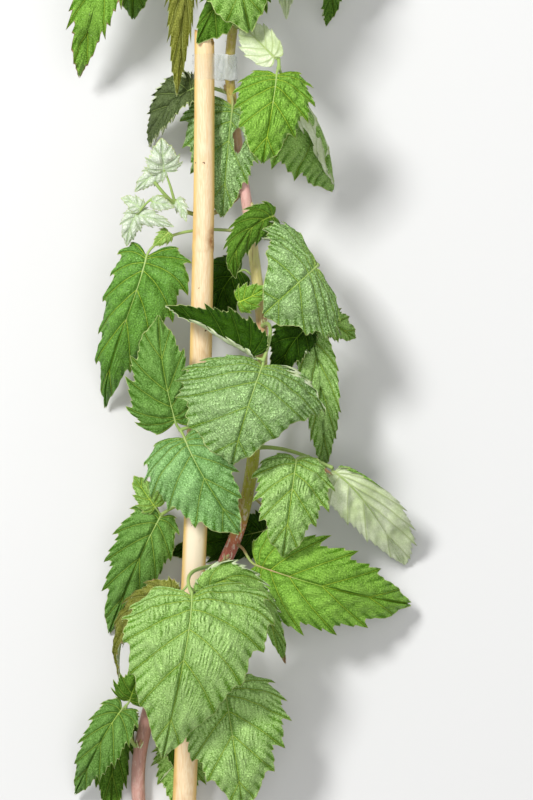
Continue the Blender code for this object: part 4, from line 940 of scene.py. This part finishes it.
def leaflet(name, start, seed, **own):
    """One leaflet with its stalk, from its parameters."""
    leaf = dict(LEAF_DEFAULTS, **own)
    chance = np.random.default_rng(seed)
    leaf["line"] = smooth_line(leaf["rib"], RIB_POINTS)
    leaf["frames"] = frames_along(leaf["line"], leaf["roll"])
    wide = max(leaf["half"])
    leaf["size"] = min(1.0, 0.45 + wide / 45)
    small = leaf["small"] = min(1.0, wide / 26)

    # Rows run from the midrib to the edge, one to each side vein and tooth, and columns run along the leaf.
    veins, columns = leaf["veins"], max(10, round(wide / COLUMN_WIDTH))
    teeth = veins * TEETH_PER_VEIN
    row_share = np.r_[(np.arange(teeth)[:, None] + TOOTH_ROWS).ravel(), teeth] / teeth
    phase = row_share * veins
    drift = np.interp(phase, np.arange(veins + 1), np.r_[0, chance.uniform(-0.018, 0.018, veins - 1), 0])
    q = np.clip(1 - (1 - row_share) ** VEIN_CROWDING + drift, FIRST_Q, LAST_Q)
    share = np.linspace(-1, 1, 2 * columns + 1)
    share = share * (0.65 + 0.35 * np.abs(share))
    u_edge, v_edge, u_rib = [eased(q, table)[:, None] for table in (OUTLINE_U, OUTLINE_V, VEIN_U)]

    reach = np.abs(share) * (1 - tooth_cuts(leaf, phase, v_edge, share, chance) * np.abs(share) ** 3)
    length = np.linalg.norm(np.diff(leaf["line"], axis=0), axis=1).sum()
    run = np.hypot(wide * v_edge, length * (u_edge - u_rib))
    wander = 0.86 + 0.14 * np.sin(9 * phase + seed)
    reach, raised, turned = rolled_edge(leaf, q, wander, run, share, reach)
    u = u_rib + (u_edge - u_rib) * reach + VEIN_BOW * reach * (1 - reach) * np.sin(math.pi * q)[:, None]
    v = np.sign(share) * v_edge * reach
    base, normal = blade_points(leaf, u, v), blade_normals(leaf, u, v)
    outward = blade_points(leaf, u + NUDGE * (u_edge - u_rib), v + NUDGE * np.sign(share) * v_edge)
    outward = unit(outward - base)
    base = base + normal * raised[..., None]
    normal = normal * np.cos(turned)[..., None] - outward * np.sin(turned)[..., None]
    spacing, vein_gap, walked, rim_gap = blade_distances(base, row_share, share, veins)

    # The blade bulges between its veins, with a ladder of small rungs across each bulge.
    cell = np.abs(np.sin(math.pi * phase))[:, None]
    forked = np.abs(np.sin(math.pi * TEETH_PER_VEIN * phase))[:, None]
    inner = np.clip(walked / 2.5, 0, 1)
    outer = np.clip((np.abs(share) - 0.5) / 0.4, 0, 1)
    soft, quick, brief = [rumple(base, chance, length) for length in RUMPLE_LENGTHS]
    pucker = np.minimum(PUCKER * spacing, PUCKER_MOST) * cell ** 0.6 * inner * (1 + 0.30 * quick)
    pucker *= 1 - 0.85 * outer
    branch = 0.13 * np.minimum(spacing, 7) * (forked ** 0.7 - 0.5) * outer
    rungs = walked / (RUNG_PITCH * (0.6 + 0.4 * small)) + 0.5 * (np.floor(phase) % 2)[:, None]
    rungs = rungs + 0.7 * soft + 0.35 * quick + 0.25 * brief
    fading = np.clip(1.1 - 1.15 * np.abs(share), 0.1, 1) * np.clip(0.6 + 0.6 * soft + 0.7 * brief, 0.0, 1.4)
    strength = leaf["rungs"] * np.clip(spacing / 5, 0, 1) * cell ** 0.4 * inner * fading
    ladder = RUNG * (0.5 + 0.5 * small) * (np.abs(np.sin(math.pi * rungs)) ** 0.8 - 0.6) * strength
    frill = 0.7 * small * np.abs(share) ** 4 * np.sin(math.tau * phase[:, None] + 2.0 + soft)
    crease = -0.30 * small * np.exp(-(walked / 0.9) ** 2)
    swell = (0.25 * quick + 0.12 * brief) * inner + 1.2 * small * soft * np.clip(walked / 8, 0, 1)
    middle = base + normal * (leaf["rough"] * (pucker + branch + ladder + frill + crease + swell))[..., None]
    ridges = VEIN_RIDGE * np.exp(-(vein_gap / 0.4) ** 2) * (1 - 0.6 * np.abs(share))
    ridges = ridges + RIB_RIDGE * np.exp(-(walked / 0.8) ** 2) * (1 - 0.7 * u)
    thin = 0.5 * LEAF_THICKNESS * (1 - 0.5 * np.abs(share) ** 8)
    upper = middle + normal * thin[:, None]
    lower = middle - normal * (thin + leaf["rough"] * leaf["size"] * ridges)[..., None]
    lower[..., 2] = np.maximum(lower[..., 2], LOWEST_UNDER)
    upper[..., 2] = np.maximum(upper[..., 2], LOWEST_UPPER)

    # The hole, the dry spots and rims, and the values that the finishes read
    keep = None
    if leaf["hole"]:
        u0, v0, across, long = leaf["hole"]
        centre = blade_points(leaf, np.array([u0]), np.array([v0]))[0]
        off = 0.25 * (base[:-1, :-1] + base[1:, :-1] + base[:-1, 1:] + base[1:, 1:]) - centre
        keep = (off[..., 0] / across) ** 2 + (off[..., 1] / long) ** 2 > 1 + 0.8 * quick[:-1, :-1]
    points, faces = closed_sheet(upper, lower, keep)
    cells = int(keep.sum()) if keep is not None else (len(q) - 1) * 2 * columns
    dryness = leaf["dry_rim"] * np.clip(1.2 - rim_gap / 1.6, 0, 1)
    for u0, v0, radius in leaf["dry"]:
        centre = blade_points(leaf, np.array([float(u0)]), np.array([float(v0)]))[0]
        dryness = np.maximum(dryness, 1.1 - np.linalg.norm(base - centre, axis=2) / radius)
    gaps = np.stack([vein_gap, walked + 0.13 * np.clip(u, 0, 1), rim_gap], axis=-1).reshape(-1, 3)
    # The crest value is how high a point stands on its pucker and rungs; the upper finish paints high points
    # pale as painted highlight and low ones deeper as painted shade.
    crest = 0.42 + 0.34 * (pucker / max(0.2, pucker.max()) - 0.4) + 0.9 * ladder / RUNG + 0.6 * branch
    state = np.stack([np.clip(crest, 0, 1), dryness, np.abs(share) + 0 * walked], axis=-1).reshape(-1, 3)
    approach = petiole_line(leaf, start)
    stalk_lines.setdefault(name.replace("leaflet", "leaf"), approach)
    stalk_points, stalk_faces = petiole(leaf, approach)
    everything = faces.tolist() + [[k + len(points) for k in face] for face in stalk_faces]
    kinds = [0] * cells + [1] * (len(faces) - cells) + [2] * len(stalk_faces)
    zero = np.zeros((len(stalk_points), 3))
    skins = [UPPER[leaf["skin"]], UNDER, STALK_SKIN]
    return piece(name, np.vstack([points, stalk_points]), everything, skins, kinds,
                 gaps=np.vstack([gaps, gaps, zero]), state=np.vstack([state, state, zero]),
                 rungs=np.r_[rungs.ravel(), rungs.ravel(), zero[:, 0]],
                 rung_depth=np.r_[strength.ravel(), strength.ravel(), zero[:, 0]])


for seed, (leaf_name, shape) in enumerate(LEAFLETS.items()):
    parent = stalk_lines.get(leaf_name[:7], CANE_LINE)
    root = (shape.get("stalk") or [shape["rib"][0]])[0]
    blade = leaflet(leaf_name.replace("leaf", "leaflet"), nearest(root, parent), 100 + seed, **shape)
    side = shape.get("roll", (0, 0))[0] == 180
    fasten(blade, "leaf_pale" if side else "leaf_green", leaf_name)

# Young side shoot
# It grows from the axil behind the stake: a thin stem, two stalks and small silvery leaflets that have
# just unfolded.

SHOOT_STEM = [(-13.9, 303, 35.5), (-22, 294, 26), (-36, 286, 32), (-46, 296, 50), (-56, 309, 53)]
SHOOT_STALKS = [
    [(-45.8, 298, 45.9), (-48, 308, 52), (-51.5, 316, 53)],
    [(-45.8, 298, 45.9), (-53, 306, 58), (-60, 300, 53), (-65, 292, 48)],
]
SHOOT_LEAFLETS = [
    dict(rib=[(-51.3, 314.5, 53), (-52, 323, 58), (-52.5, 331, 56)], half=(10, 10), fold=(0, 20)),
    dict(rib=[(-51.5, 315, 53), (-58, 313, 53), (-66, 304, 48)], half=(6, 6)),
    dict(rib=[(-63, 295.5, 50), (-67, 300, 51), (-73, 301, 48)], half=(5, 5)),
    dict(rib=[(-64.8, 293.5, 48.5), (-69, 287, 48), (-70, 277, 42)], half=(6.5, 6.5)),
    dict(rib=[(-64.8, 293, 48.3), (-57, 291, 51), (-46, 286.5, 49)], half=(5, 5)),
    dict(rib=[(-57, 299, 54), (-52, 298, 55), (-46, 296, 54)], half=(4.5, 4.5)),
    dict(rib=[(-45, 300, 47), (-42, 296, 50), (-40, 289, 50)], half=(4, 4)),
]
SHOOT_RADII, SHOOT_POINTS = (1.15, 0.65, 0.65), 50
shoot_lines = [smooth_line(route, SHOOT_POINTS) for route in (SHOOT_STEM, *SHOOT_STALKS)]
for number, (line, thick) in enumerate(zip(shoot_lines, SHOOT_RADII)):
    radii = np.linspace(thick * 1.2, thick * 0.7, SHOOT_POINTS)
    grown = stem(f"shoot_stem_{number + 1}", [line], [radii], Sides=12, Prickles=90000.0,
                 Prickle_Length=0.0007, Prickle_Radius=0.00009, Seed=60 + number, Skin=STALK_SKIN)
    fasten(grown, "stalk_skin", "side_shoot")
for number, shape in enumerate(SHOOT_LEAFLETS):
    start = nearest(shape["rib"][0], np.vstack(shoot_lines))
    blade = leaflet(f"shoot_leaflet_{number + 1}", start, 200 + number, veins=5, skin="silver", **shape)
    fasten(blade, "leaf_pale", "side_shoot")

# Floor, light and camera
# A plain white table, a large soft lamp from the upper left and a second one from the right. The camera
# looks straight down from far away, as the photograph looks level at the standing plant.

TABLE_HALF = 3.0
SKY_LIGHT = 0.46
LAMPS = (("key lamp", (-0.9, 0.9, 1.7), 0.45, 44.0), ("top lamp", (0.5, -0.3, 4.2), 3.0, 58.0))
VIEW_MIDDLE = (np.array([0.0, 200.0, 50.0]) - PLANT_MIDDLE) * MM
VIEW_HEIGHT, VIEW_DISTANCE, FILM_WIDTH = 0.400, 3.5, 36.0

floor_mesh = bpy.data.meshes.new("floor")
floor_mesh.from_pydata([(x * TABLE_HALF, y * TABLE_HALF, 0) for x, y in ((-1, -1), (1, -1), (1, 1), (-1, 1))],
                       [], [(0, 1, 2, 3)])
floor_finish, _ = new_finish("white table")
floor_mesh.materials.append(finished(floor_finish, node(floor_finish.node_tree, "ShaderNodeBsdfPrincipled", {
    "Base Color": (0.635, 0.635, 0.63, 1.0), "Roughness": 0.8}).outputs[0]))
put_down("floor", floor_mesh)

world = bpy.data.worlds.new("studio")
bpy.context.scene.world = world
world.use_nodes = True
world.node_tree.nodes["Background"].inputs[0].default_value = (1.0, 1.0, 1.0, 1.0)
world.node_tree.nodes["Background"].inputs[1].default_value = SKY_LIGHT

for title, offset, width, power in LAMPS:
    lamp = bpy.data.lights.new(title, "AREA")
    lamp.size, lamp.energy = width, power
    holder = put_down(title, lamp)
    holder.location = [a + b for a, b in zip(VIEW_MIDDLE, offset)]
    away = holder.location.copy()
    away -= type(away)(VIEW_MIDDLE)
    holder.rotation_euler = away.to_track_quat("Z", "Y").to_euler()

camera = bpy.data.cameras.new("camera")
camera.sensor_width = FILM_WIDTH
camera.lens = FILM_WIDTH * VIEW_DISTANCE / VIEW_HEIGHT
camera.clip_end = 20.0
viewer = put_down("camera", camera)
viewer.location = VIEW_MIDDLE + np.array([0, 0, VIEW_DISTANCE])
bpy.context.scene.camera = viewer
bpy.context.scene.view_settings.view_transform = "Standard"
